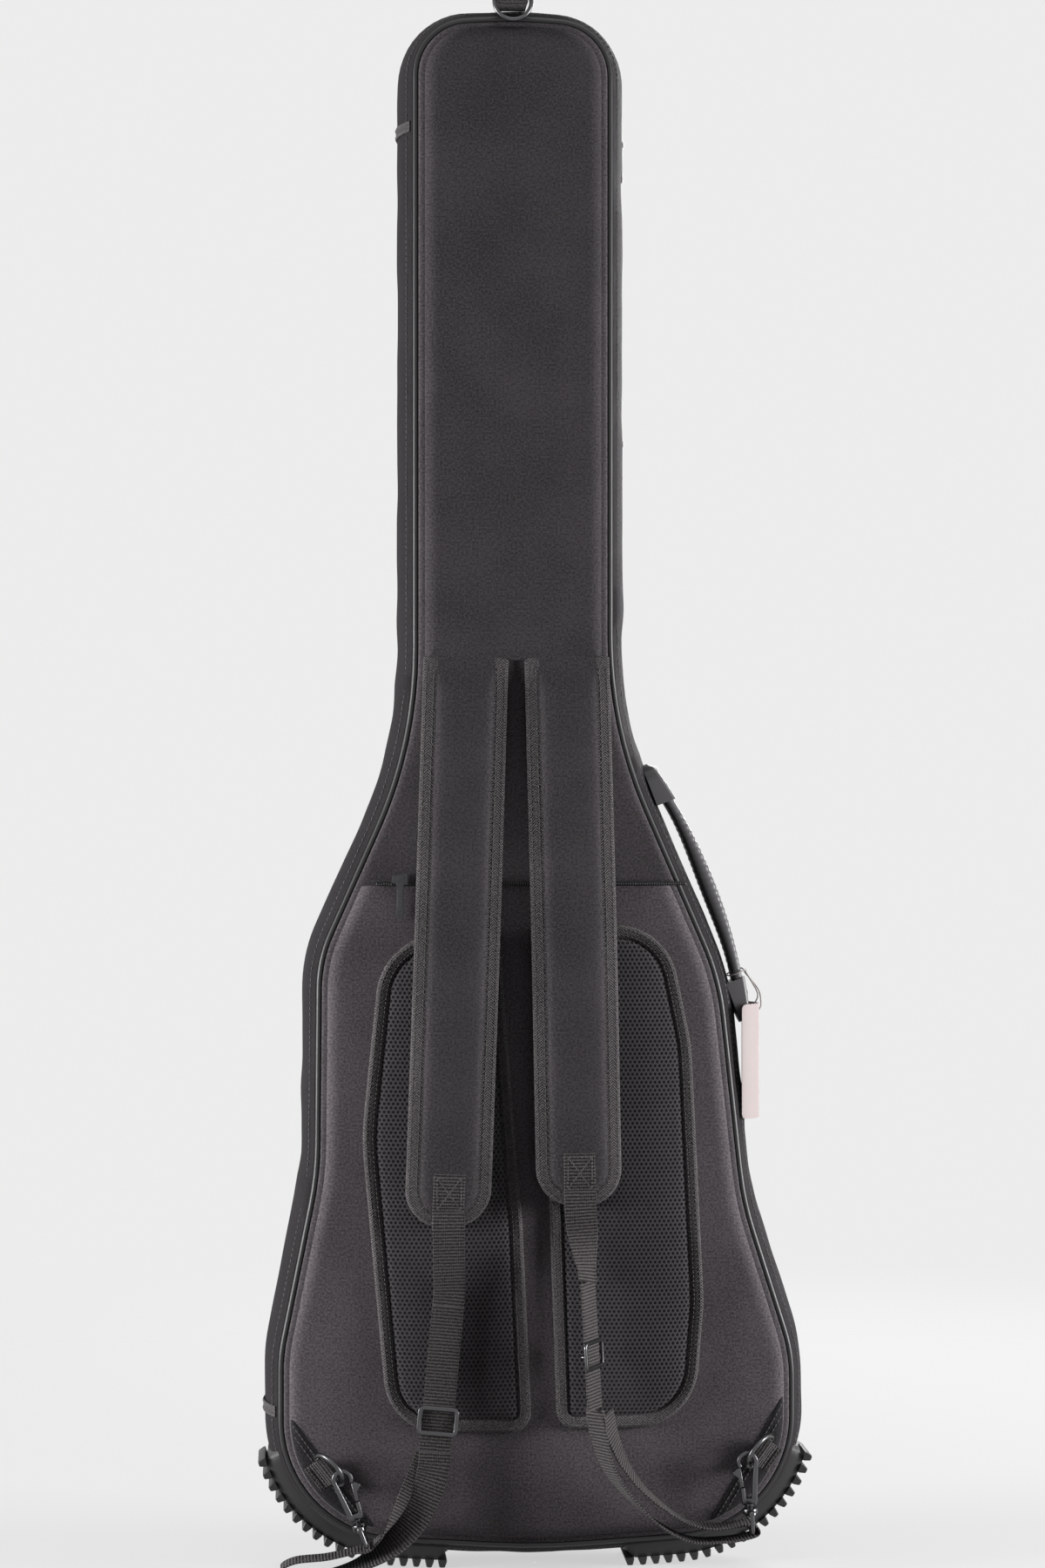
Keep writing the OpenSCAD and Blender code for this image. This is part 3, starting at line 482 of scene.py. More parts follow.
class Build:
    """Collects surfaces and turns them into one mesh object."""

    def __init__(self) -> None:
        """Start empty."""
        self.points: list[Points] = []
        self.faces: list[list[int]] = []
        self.uvs: list[Pair] = []
        self.marks: list[int] = []
        self.count = 0

    def vertices(self, points: Points) -> int:
        """Add vertices and give the index of the first.

        Args:
            points: Points to add.

        Returns:
            Index of the first.
        """
        first = self.count
        self.points.append(np.asarray(points, float).reshape(-1, 3))
        self.count += len(self.points[-1])
        return first

    def grid(
        self, points: Points, close_rows: bool = False, close_cols: bool = False,
        mark: int | Points = 0, u: Optional[Points] = None, v: Optional[Points] = None,
    ) -> None:
        """Add a surface over rows and columns of points, its texture laid by length.

        Args:
            points: Rows and columns of points.
            close_rows: Whether the last row joins the first.
            close_cols: Whether the last column joins the first.
            mark: Slot of the finish, or one for each column.
            u: Texture places of the columns.
            v: Texture places of the rows.
        """
        p = np.asarray(points, float)
        rows, cols = p.shape[:2]
        first = self.vertices(p)
        if u is None:
            step = np.linalg.norm(np.roll(p, -1, axis=1) - p, axis=2).mean(axis=0)
            u = np.concatenate([[0], np.cumsum(step)])
        if v is None:
            step = np.linalg.norm(np.roll(p, -1, axis=0) - p, axis=2).mean(axis=1)
            v = np.concatenate([[0], np.cumsum(step)])
        for i in range(rows if close_rows else rows - 1):
            here, there = first + i * cols, first + (i + 1) % rows * cols
            for j in range(cols if close_cols else cols - 1):
                m = (j + 1) % cols
                self.faces.append([here + j, there + j, there + m, here + m])
                self.uvs += [(u[j], v[i]), (u[j], v[i + 1]), (u[j + 1], v[i + 1]), (u[j + 1], v[i])]
                self.marks.append(int(mark if np.isscalar(mark) else mark[j]))

    def cap(self, ring: Points, flip: bool = False, mark: int = 0) -> None:
        """Close a ring of points with one face.

        Args:
            ring: Points of the ring.
            flip: Whether the face is turned over.
            mark: Slot of the finish.
        """
        first = self.vertices(ring)
        order = list(range(len(ring)))[:: -1 if flip else 1]
        middle = np.asarray(ring).mean(axis=0)
        self.faces.append([first + i for i in order])
        self.uvs += [tuple((np.asarray(ring)[i] - middle)[[0, 2]]) for i in order]
        self.marks.append(mark)

    def triangles(self, points: Points, faces: Points, uv: Points, marks: Points) -> None:
        """Add a triangle mesh with a texture place for each vertex and a mark for each face.

        Args:
            points: Vertices.
            faces: Three vertices for each face.
            uv: Texture places.
            marks: Slots of the finishes.
        """
        first = self.vertices(points)
        for face, mark in zip(faces, marks):
            self.faces.append([first + int(i) for i in face])
            self.uvs += [(uv[i][0], uv[i][1]) for i in face]
            self.marks.append(int(mark))

    def strip(
        self, path: Points, wide: Points, width: float | Points, thick: float | Points,
        section: Points = FLAT_SECTION, closed: bool = False, mark: int = 0,
    ) -> None:
        """Sweep a section along a path, its width along the given directions.

        Args:
            path: Points of the line.
            wide: Directions of the width.
            width: Width.
            thick: Thickness.
            section: Section of unit size.
            closed: Whether it ends where it starts.
            mark: Slot of the finish.
        """
        p = np.asarray(path, float)
        t = tangents(p, closed)
        w = np.broadcast_to(np.asarray(wide, float), p.shape)
        w = unit(w - (w * t).sum(-1, keepdims=True) * t)
        n = np.cross(t, w)
        a = np.broadcast_to(np.asarray(width, float), (len(p),))[:, None, None]
        b = np.broadcast_to(np.asarray(thick, float), (len(p),))[:, None, None]
        rows = p[:, None] + a * section[:, :1] * w[:, None] + b * section[:, 1:] * n[:, None]
        self.grid(rows, close_rows=closed, close_cols=True, mark=mark)
        if not closed:
            self.cap(rows[0], mark=mark)
            self.cap(rows[-1], flip=True, mark=mark)

    def tube(
        self, path: Points, radius: float | Points, sides: int = 12, closed: bool = False,
        mark: int = 0,
    ) -> None:
        """Sweep a round section along a path without twist.

        Args:
            path: Points of the line.
            radius: Radius.
            sides: Number of sides.
            closed: Whether it ends where it starts.
            mark: Slot of the finish.
        """
        p = np.asarray(path, float)
        t = tangents(p, closed)
        axis = np.eye(3)[int(np.argmin(np.abs(t[0])))]
        a = [unit(axis - (axis @ t[0]) * t[0])]
        for d in t[1:]:
            a.append(unit(a[-1] - (a[-1] @ d) * d))
        a = np.array(a)
        if closed:
            end = unit(a[-1] - (a[-1] @ t[0]) * t[0])
            twist = math.atan2(np.cross(end, a[0]) @ t[0], end @ a[0])
            angle = (twist * np.arange(len(p)) / len(p))[:, None]
            a = np.cos(angle) * a + np.sin(angle) * np.cross(t, a)
        b = np.cross(t, a)
        ring = np.linspace(0, 2 * math.pi, sides, endpoint=False)
        r = np.broadcast_to(np.asarray(radius, float), (len(p),))[:, None, None]
        turn = np.cos(ring)[:, None] * a[:, None] + np.sin(ring)[:, None] * b[:, None]
        rows = p[:, None] + r * turn
        self.grid(rows, close_rows=closed, close_cols=True, mark=mark)
        if not closed:
            self.cap(rows[0], mark=mark)
            self.cap(rows[-1], flip=True, mark=mark)

    def lathe(
        self, frame: Frame, profile: Sequence[Sequence[float]], sides: int = 24, mark: int = 0
    ) -> None:
        """Turn a profile of radius and height about the frame's Z.

        Args:
            frame: Its place and axes.
            profile: Radius and height of each point.
            sides: Number of sides.
            mark: Slot of the finish.
        """
        q = np.asarray(profile, float)
        a = np.linspace(0, 2 * math.pi, sides, endpoint=False)
        level = np.outer(q[:, 1], np.ones(sides))
        rows = np.stack([np.outer(q[:, 0], np.cos(a)), np.outer(q[:, 0], np.sin(a)), level], -1)
        self.grid(frame.at(rows), close_cols=True, mark=mark)
        self.cap(frame.at(rows[0]), mark=mark)
        self.cap(frame.at(rows[-1]), flip=True, mark=mark)

    def slab(
        self, frame: Frame, outline: Points, thick: float, bevel: float, mark: int = 0
    ) -> None:
        """Plate in the frame's XY plane with its edges taken off.

        Args:
            frame: Its place and axes.
            outline: Outline in the plane.
            thick: Thickness.
            bevel: Width of the cut edge.
            mark: Slot of the finish.
        """
        p = np.asarray(outline, float)
        e = unit(np.roll(p, -1, axis=0) - p)
        side = np.stack([e[:, 1], -e[:, 0]], 1)
        n = unit(side + np.roll(side, 1, axis=0))
        steps = [
            (bevel, -thick / 2), (bevel * 0.3, -thick / 2 + bevel * 0.3), (0, -thick / 2 + bevel),
            (0, thick / 2 - bevel), (bevel * 0.3, thick / 2 - bevel * 0.3), (bevel, thick / 2),
        ]
        rows = [np.hstack([p - inset * n, np.full((len(p), 1), h)]) for inset, h in steps]
        self.grid(frame.at(np.array(rows)), close_cols=True, mark=mark)
        self.cap(frame.at(rows[0]), flip=True, mark=mark)
        self.cap(frame.at(rows[-1]), mark=mark)

    def block(self, frame: Frame, size: Sequence[float], bevel: float, mark: int = 0) -> None:
        """Box centred on the frame with its edges taken off.

        Args:
            frame: Its place and axes.
            size: Its three sizes.
            bevel: Width of the cut edge.
            mark: Slot of the finish.
        """
        h = np.asarray(size, float) / 2
        ring = []
        for x, y in ((-1, -1), (1, -1), (1, 1), (-1, 1)):
            ring += [(x * (h[0] - bevel), y * h[1]), (x * h[0], y * (h[1] - bevel))]
        ring = np.array(ring)
        ring = ring[np.argsort(np.arctan2(ring[:, 1], ring[:, 0]))]
        rows = []
        for inset, z in ((bevel, -h[2]), (0, -h[2] + bevel), (0, h[2] - bevel), (bevel, h[2])):
            k = np.array([(h[0] - inset) / h[0], (h[1] - inset) / h[1]])
            rows.append(np.hstack([ring * k, np.full((8, 1), z)]))
        p = frame.at(np.array(rows))
        self.grid(p, close_cols=True, mark=mark)
        self.cap(p[0], flip=True, mark=mark)
        self.cap(p[-1], mark=mark)

    def beads(
        self, at: Points, along: Points, out: Points, length: float, radius: float, mark: int = 0
    ) -> None:
        """Short threads or teeth: bowed capsules that dip in at both ends.

        Args:
            at: Middles.
            along: Directions along them.
            out: Direction away from the surface.
            length: Length of one.
            radius: Radius.
            mark: Slot of the finish.
        """
        p, t, n = (np.broadcast_to(np.asarray(q, float), np.shape(at)) for q in (at, along, out))
        t = unit(t)
        n = unit(n - (n * t).sum(-1, keepdims=True) * t)
        b = np.cross(t, n)
        ring = np.linspace(0, 2 * math.pi, 6, endpoint=False)
        turn = np.cos(ring)[:, None] * n[:, None] + np.sin(ring)[:, None] * b[:, None]
        rows = []
        for shift, size, rise in BEAD:
            c = p + shift * length * t + rise * radius * n
            rows.append(c[:, None] + size * radius * turn)
        for each in np.stack(rows, axis=1):
            self.grid(each, close_cols=True, mark=mark)

    def stitches(
        self, path: Points, out: Points, pitch: float = 4.0, mark: int = 0, thread: float = 0.42
    ) -> None:
        """Row of stitches along a line.

        Args:
            path: Points of the line.
            out: Direction away from the surface.
            pitch: Length of a stitch.
            mark: Slot of the finish.
            thread: Radius of the thread.
        """
        p = np.asarray(path, float)
        n = np.broadcast_to(np.asarray(out, float), p.shape)
        both = evenly(np.hstack([p, 1e-6 * n]), pitch)
        middle = (both[1:, :3] + both[:-1, :3]) / 2
        self.beads(
            middle, both[1:, :3] - both[:-1, :3], unit(both[1:, 3:]), pitch * 0.74, thread, mark
        )

    def make(
        self, name: str, looks: Sequence[bpy.types.Material], sharp: float = 60.0,
        outward: bool = True,
    ) -> bpy.types.Object:
        """Turn what was collected into an object.

        Args:
            name: Name of the object.
            looks: Finishes in the order of their slots.
            sharp: Angle in degrees past which an edge is sharp.
            outward: Whether faces are merged and turned outward.

        Returns:
            The object.
        """
        mesh = bpy.data.meshes.new(name)
        mesh.from_pydata((np.vstack(self.points) * MM).tolist(), [], self.faces)
        layer = mesh.uv_layers.new(name="UVMap")
        layer.data.foreach_set("uv", (np.asarray(self.uvs) * MM).ravel())
        mesh.polygons.foreach_set("material_index", self.marks)
        mesh.polygons.foreach_set("use_smooth", [True] * len(self.faces))
        for look in looks:
            mesh.materials.append(look)
        if outward:
            work = bmesh.new()
            work.from_mesh(mesh)
            bmesh.ops.remove_doubles(work, verts=work.verts, dist=1e-6)
            bmesh.ops.recalc_face_normals(work, faces=work.faces)
            work.to_mesh(mesh)
            work.free()
        mesh.set_sharp_from_angle(angle=math.radians(sharp))
        mesh.update()
        obj = bpy.data.objects.new(name, mesh)
        bpy.context.scene.collection.objects.link(obj)
        return obj


@dataclass
class Panel:
    """Cloth or padding: a flat shape raised by a profile over the distance from its edge."""

    outline: Points
    profile: Relief
    place: Placing
    spacing: float = 8.0
    rings: Values = (0.5, 1.3, 2.6, 4.2, 6.2, 8.6, 11.5)
    measure: Optional[Points] = None
    hole: Optional[Points] = None
    trim: float = 0.0

    def distances(self, at: Points) -> Points:
        """Distance from the edge that shapes the padding."""
        return edge_distance(self.outline if self.measure is None else self.measure, at)

    def flat(self) -> tuple[Points, Points]:
        """Points and triangles of the flat shape.

        Returns:
            The points, and three of them for each triangle.
        """
        loop = self.outline
        low, high = loop.min(axis=0), loop.max(axis=0)
        e = unit(np.roll(loop, -1, axis=0) - np.roll(loop, 1, axis=0))
        inward = np.stack([-e[:, 1], e[:, 0]], 1)
        found = []
        for inset in self.rings:
            ring = loop + inset * inward
            ok = inside(loop, ring) & (edge_distance(loop, ring) > 0.9 * inset)
            found.append(ring[ok])
        s = self.spacing
        rows = np.arange(low[1] + s / 2, high[1], s * 0.866)
        hexes = []
        for k, b in enumerate(rows):
            a = np.arange(low[0] + (s / 2 if k % 2 else 0), high[0], s)
            hexes.append(np.stack([a, np.full(len(a), b)], 1))
        inner = np.vstack(hexes)
        inner = inner[inside(loop, inner)]
        inner = inner[edge_distance(loop, inner) > self.rings[-1] + 0.5 * s]
        points = np.vstack([loop] + found + [inner])
        edges = [(i, (i + 1) % len(loop)) for i in range(len(loop))]
        if self.hole is not None:
            keep = ~inside(self.hole, points) & (edge_distance(self.hole, points) > 0.6)
            keep[: len(loop)] = True
            points = points[keep]
            first = len(points)
            points = np.vstack([points, self.hole])
            edges += [(first + i, first + (i + 1) % len(self.hole)) for i in range(len(self.hole))]
        out = delaunay_2d_cdt([Vector(p) for p in points.tolist()], edges, [], 0, 1e-6)
        flat = np.array([tuple(v) for v in out[0]])
        tris = np.array([f for f in out[2] if len(f) == 3])
        middle = flat[tris].mean(axis=1)
        keep = inside(loop, middle)
        if self.hole is not None:
            keep &= ~inside(self.hole, middle)
        return flat, tris[keep]

    def lay(
        self, build: Build, under: Optional[float] = None, mark: int = 0, trim_mark: int = 1
    ) -> None:
        """Add the raised face to a build, and a flat face below it if asked.

        Args:
            build: Mesh that it is added to.
            under: Height of the flat face.
            mark: Slot of the finish.
            trim_mark: Slot of the finish along the edge.
        """
        flat, tris = self.flat()
        d = self.distances(flat)
        if self.measure is None:
            d[edge_distance(self.outline, flat) < 1e-4] = 0.0
        h = self.profile(d, flat[:, 0], flat[:, 1])
        marks = np.full(len(tris), mark)
        if self.trim:
            marks = np.where(d[tris].mean(axis=1) < self.trim, trim_mark, mark)
        build.triangles(self.place(flat[:, 0], flat[:, 1], h), tris, flat, marks)
        if under is not None:
            low = self.place(flat[:, 0], flat[:, 1], np.full(len(flat), under))
            build.triangles(low, tris[:, ::-1], flat, marks)


@dataclass(frozen=True)
class Pillow:
    """Padding that rises round its edge and swells a little towards its middle."""

    edge: float
    height: float
    crown: float = 0.0
    reach: float = 40.0
    lumps: float = 0.0
    size: float = 60.0
    seed: int = 0
    creases: tuple[tuple[float, float, float, float, float], ...] = ()

    def crease(self, a: Points, b: Points) -> Points:
        """Depth of the shallow creases, each from one point to another with its depth.

        Args:
            a: First coordinate on the panel.
            b: Second coordinate on the panel.

        Returns:
            Depth at each place.
        """
        depth = np.zeros(np.shape(a))
        for x0, z0, x1, z1, deep in self.creases:
            run = np.array([x1 - x0, z1 - z0])
            t = ((a - x0) * run[0] + (b - z0) * run[1]) / (run @ run)
            off = ((a - x0) * run[1] - (b - z0) * run[0]) / np.linalg.norm(run)
            off = off + 2.0 * np.sin(3 * t)
            start, end = ease(t * 4), ease((1 - t) * 4)
            depth = depth + deep * np.exp(-((off / 3.2) ** 2)) * start * end
            depth = depth - 0.6 * deep * np.exp(-(((off - 5.5) / 4.5) ** 2)) * start * end
        return depth

    def __call__(self, d: Points, a: Points, b: Points) -> Points:
        """Height of the padding at a distance from its edge.

        Args:
            d: Distance from the edge.
            a: First coordinate on the panel.
            b: Second coordinate on the panel.

        Returns:
            Height at each place.
        """
        rise = self.height * np.sqrt(1 - (1 - np.clip(d / self.edge, 0, 1)) ** 2)
        swell = self.crown * (1 - np.exp(-np.maximum(d - self.edge / 2, 0) / self.reach))
        fine = noise(a, b, self.size * 0.43, self.seed + 1)
        ripple = noise(a, b, self.size, self.seed) + 0.5 * fine
        return rise + swell + self.lumps * ripple * ease(d / (3 * self.edge)) - self.crease(a, b)


@dataclass(frozen=True)
class Quilt(Pillow):
    """Padding sewn down along crossing slanting rows."""

    pitch: float = 34.0
    groove: float = 1.9

    def __call__(self, d: Points, a: Points, b: Points) -> Points:
        """Height of the padding at a distance from its edge.

        Args:
            d: Distance from the edge.
            a: First coordinate on the panel.
            b: Second coordinate on the panel.

        Returns:
            Height at each place.
        """
        rows = np.minimum(
            np.abs(np.sin(math.pi * (a + b) / self.pitch)),
            np.abs(np.sin(math.pi * (a - b) / self.pitch)),
        )
        return super().__call__(d, a, b) - self.groove * (1 - np.sqrt(rows)) * ease(d / self.edge)


class Graph:
    """Shader nodes of one material, added with few words."""

    MIX_LOW, MIX_HIGH, MIX_OUT = 6, 7, 2

    def __init__(self, name: str) -> None:
        """Start a material.

        Args:
            name: Name of the material.
        """
        self.material = bpy.data.materials.new(name)
        self.material.use_nodes = True
        self.tree = self.material.node_tree
        self.shader = next(n for n in self.tree.nodes if n.type == "BSDF_PRINCIPLED")
        place = self.tree.nodes.new("ShaderNodeUVMap")
        place.uv_map = "UVMap"
        self.uv = place.outputs[0]

    @classmethod
    def on(cls, tree: bpy.types.NodeTree) -> "Graph":
        """Graph that adds to a tree of nodes that is there already.

        Args:
            tree: Tree of nodes.

        Returns:
            The graph.
        """
        graph = cls.__new__(cls)
        graph.tree = tree
        return graph

    def feed(self, socket: Socket, value: object) -> None:
        """Link a socket or set its value.

        Args:
            socket: Socket to set.
            value: Value, or the socket that it comes from.
        """
        if isinstance(value, Socket):
            self.tree.links.new(value, socket)
        else:
            socket.default_value = value

    def math(self, kind: str, a: object, b: object = 0.0, c: object = 0.0) -> Socket:
        """Result of a sum on values.

        Args:
            kind: Name of the sum.
            a: First value.
            b: Second value.
            c: Third value.

        Returns:
            Socket of the result.
        """
        node = self.tree.nodes.new("ShaderNodeMath")
        node.operation = kind
        for socket, value in zip(node.inputs, (a, b, c)):
            self.feed(socket, value)
        return node.outputs[0]

    def plane(self) -> tuple[Socket, Socket]:
        """Place on the cloth in millimetres.

        Returns:
            Sockets of both coordinates.
        """
        node = self.tree.nodes.new("ShaderNodeSeparateXYZ")
        self.feed(node.inputs[0], self.uv)
        return tuple(self.math("MULTIPLY", node.outputs[k], PER_METRE) for k in (0, 1))

    def wave(self, at: object, pitch: float) -> Socket:
        """Sine of a place, with that pitch."""
        return self.math("SINE", self.math("MULTIPLY", at, 2 * math.pi / pitch))

    def mixed(self, fine: Socket, coarse: Socket, share: float) -> Socket:
        """Two waves as one, the first with that share."""
        return self.math("MULTIPLY_ADD", fine, share, self.math("MULTIPLY", coarse, 1 - share))

    def noise(self, size: float, detail: float = 3.0) -> Socket:
        """Cloudy value from 0 to 1 with lumps of about that size in millimetres.

        Args:
            size: Size of a lump.
            detail: Number of finer layers.

        Returns:
            Socket of the result.
        """
        node = self.tree.nodes.new("ShaderNodeTexNoise")
        self.feed(node.inputs["Vector"], self.uv)
        node.inputs["Scale"].default_value = PER_METRE / size
        node.inputs["Detail"].default_value = detail
        return node.outputs[0]

    def between(self, factor: object, low: Colour, high: Colour) -> Socket:
        """Colour between two.

        Args:
            factor: Share of the second colour.
            low: First colour.
            high: Second colour.

        Returns:
            Socket of the result.
        """
        node = self.tree.nodes.new("ShaderNodeMix")
        node.data_type = "RGBA"
        self.feed(node.inputs[0], factor)
        node.inputs[self.MIX_LOW].default_value = (*low, 1)
        node.inputs[self.MIX_HIGH].default_value = (*high, 1)
        return node.outputs[self.MIX_OUT]

    def bump(self, height: object, depth: float, under: Optional[Socket] = None) -> Socket:
        """Relief of that depth in millimetres.

        Args:
            height: Height to show.
            depth: Depth in millimetres.
            under: Relief that it lies on.

        Returns:
            Socket of the result.
        """
        node = self.tree.nodes.new("ShaderNodeBump")
        node.inputs["Strength"].default_value = 1.0
        node.inputs["Distance"].default_value = depth * MM
        self.feed(node.inputs["Height"], height)
        if under is not None:
            self.feed(node.inputs["Normal"], under)
        return node.outputs[0]

    def finish(self, **values: object) -> bpy.types.Material:
        """Set the shader's sockets and give the material.

        Args:
            **values: Values by the names of the sockets.

        Returns:
            The material.
        """
        for key, value in values.items():
            self.feed(self.shader.inputs[key.replace("_", " ")], value)
        return self.material


def shade(colour: Colour, factor: float) -> Colour:
    """Colour made lighter or darker."""
    return tuple(min(1.0, c * factor) for c in colour)


@dataclass(frozen=True)
class Weave:
    """Woven or quilted cloth."""

    name: str
    colour: Colour
    pattern: Pattern
    pitch: float
    relief: float
    rough: float = 0.74
    sheen: float = 0.2
    shine: float = 0.08
    mottle: float = 0.16
    contrast: float = 0.25
    fleck: float = 1.7
    cloud: float = 60.0
    soft: float = 9.0
    soft_relief: float = 0.35

    def height(self, g: Graph) -> Socket:
        """Relief of the threads, from -1 to 1.

        Args:
            g: Graph that takes the nodes.

        Returns:
            Socket of the result.
        """
        u, v = g.plane()
        if self.pattern is Pattern.PLAIN:
            return g.math("MULTIPLY", g.wave(u, 2 * self.pitch), g.wave(v, 2 * self.pitch))
        if self.pattern is Pattern.TWILL:
            slope = g.wave(g.math("ADD", u, v), 1.6 * self.pitch)
            return g.mixed(g.wave(v, self.pitch), slope, 0.35)
        if self.pattern is Pattern.RIB:
            return g.mixed(g.wave(u, 0.55 * self.pitch), g.wave(v, self.pitch), 0.3)
        if self.pattern is Pattern.HERRINGBONE:
            fold = g.math("PINGPONG", u, 2.2 * self.pitch)
            slope = g.wave(g.math("ADD", fold, v), self.pitch)
            return g.mixed(g.wave(g.math("SUBTRACT", v, u), 0.7), slope, 0.25)
        a = g.math("ABSOLUTE", g.wave(g.math("ADD", u, v), 2 * self.pitch))
        b = g.math("ABSOLUTE", g.wave(g.math("SUBTRACT", u, v), 2 * self.pitch))
        return g.math("POWER", g.math("MINIMUM", a, b), 0.4)

    def material(self) -> bpy.types.Material:
        """Make the material.

        Returns:
            The material.
        """
        g = Graph(self.name)
        h = self.height(g)
        cloud = g.math("MULTIPLY_ADD", g.noise(self.cloud, 4), 0.8, -0.4)
        fleck = g.math("MULTIPLY_ADD", g.noise(self.fleck, 2), 2.6, g.math("SUBTRACT", cloud, 0.8))
        tone = g.math("MULTIPLY_ADD", h, 0.5 * self.contrast, fleck)
        colour = g.between(
            tone, shade(self.colour, 1 - 2 * self.mottle), shade(self.colour, 1 + 2 * self.mottle)
        )
        soft = g.bump(g.noise(self.soft, 3), self.soft_relief)
        return g.finish(
            Base_Color=colour, Roughness=self.rough, Normal=g.bump(h, self.relief, soft),
            Sheen_Weight=self.sheen, Sheen_Roughness=0.45, Specular_IOR_Level=self.shine,
        )


@dataclass(frozen=True)
class Spacer:
    """Spacer mesh with staggered holes."""

    name: str
    colour: Colour
    pitch: float = 3.6
    rough: float = 0.85
    row: float = 0.9
    narrow: float = 1.15
    hole: float = 0.31
    steep: float = 7.0
    thread: float = 0.62
    relief: float = 0.7
    # Share of the colour left in the holes: they are painted near black as shade.
    hole_shade: float = 0.06

    def material(self) -> bpy.types.Material:
        """Make the material.

        Returns:
            The material.
        """
        g = Graph(self.name)
        u, v = g.plane()
        b = g.math("DIVIDE", v, self.pitch * self.row)
        odd = g.math("MULTIPLY", g.math("MODULO", g.math("FLOOR", b), 2.0), 0.5)
        a = g.math("ADD", g.math("DIVIDE", u, self.pitch), odd)
        fa = g.math("SUBTRACT", g.math("FRACT", a), 0.5)
        fb = g.math("SUBTRACT", g.math("FRACT", b), 0.5)
        wide = g.math("POWER", g.math("MULTIPLY", fa, self.narrow), 2.0)
        far = g.math("SQRT", g.math("ADD", wide, g.math("POWER", fb, 2.0)))
        wall = g.math("MULTIPLY", g.math("SUBTRACT", far, self.hole), self.steep)
        wall = g.math("SMOOTH_MIN", wall, 1.0, 0.2)
        wall = g.math("MAXIMUM", wall, 0.0)
        slant = g.math("ADD", u, g.math("MULTIPLY", v, 0.6))
        thread = g.math("MULTIPLY_ADD", g.wave(slant, self.thread), 0.12, wall)
        cloud = g.math("MULTIPLY_ADD", g.noise(40, 3), 0.5, 0.75)
        share = g.math("MULTIPLY", wall, g.math("MULTIPLY", cloud, 0.9))
        # The holes are painted dark: painted shade in the mesh's hollows.
        colour = g.between(share, shade(self.colour, self.hole_shade), self.colour)
        return g.finish(
            Base_Color=colour, Roughness=self.rough, Normal=g.bump(thread, self.relief),
            Sheen_Weight=0.2, Sheen_Roughness=0.5, Specular_IOR_Level=0.08,
        )


@dataclass(frozen=True)
class Smooth:
    """Metal, rubber, paper, thread and other plain surfaces."""

    name: str
    colour: Colour
    rough: float
    metal: float = 0.0
    grain: float = 0.5
    relief: float = 0.03
    mottle: float = 0.06
    sheen: float = 0.0
    cloud: float = 18.0
    vary: float = 0.16

    def material(self) -> bpy.types.Material:
        """Make the material.

        Returns:
            The material.
        """
        g = Graph(self.name)
        cloud = g.noise(self.cloud, 4)
        colour = g.between(
            cloud, shade(self.colour, 1 - 2 * self.mottle), shade(self.colour, 1 + 2 * self.mottle)
        )
        rough = g.math("MULTIPLY_ADD", cloud, self.vary, self.rough - self.vary / 2)
        return g.finish(
            Base_Color=colour, Roughness=rough, Metallic=self.metal,
            Normal=g.bump(g.noise(self.grain, 2), self.relief), Sheen_Weight=self.sheen,
        )


def bag_cloth(name: str, colour: Colour, sheen: float) -> Weave:
    """The bag's twill in a colour."""
    return Weave(name, colour, Pattern.TWILL, 0.95, 0.08, sheen=sheen, mottle=0.24, contrast=0.6)


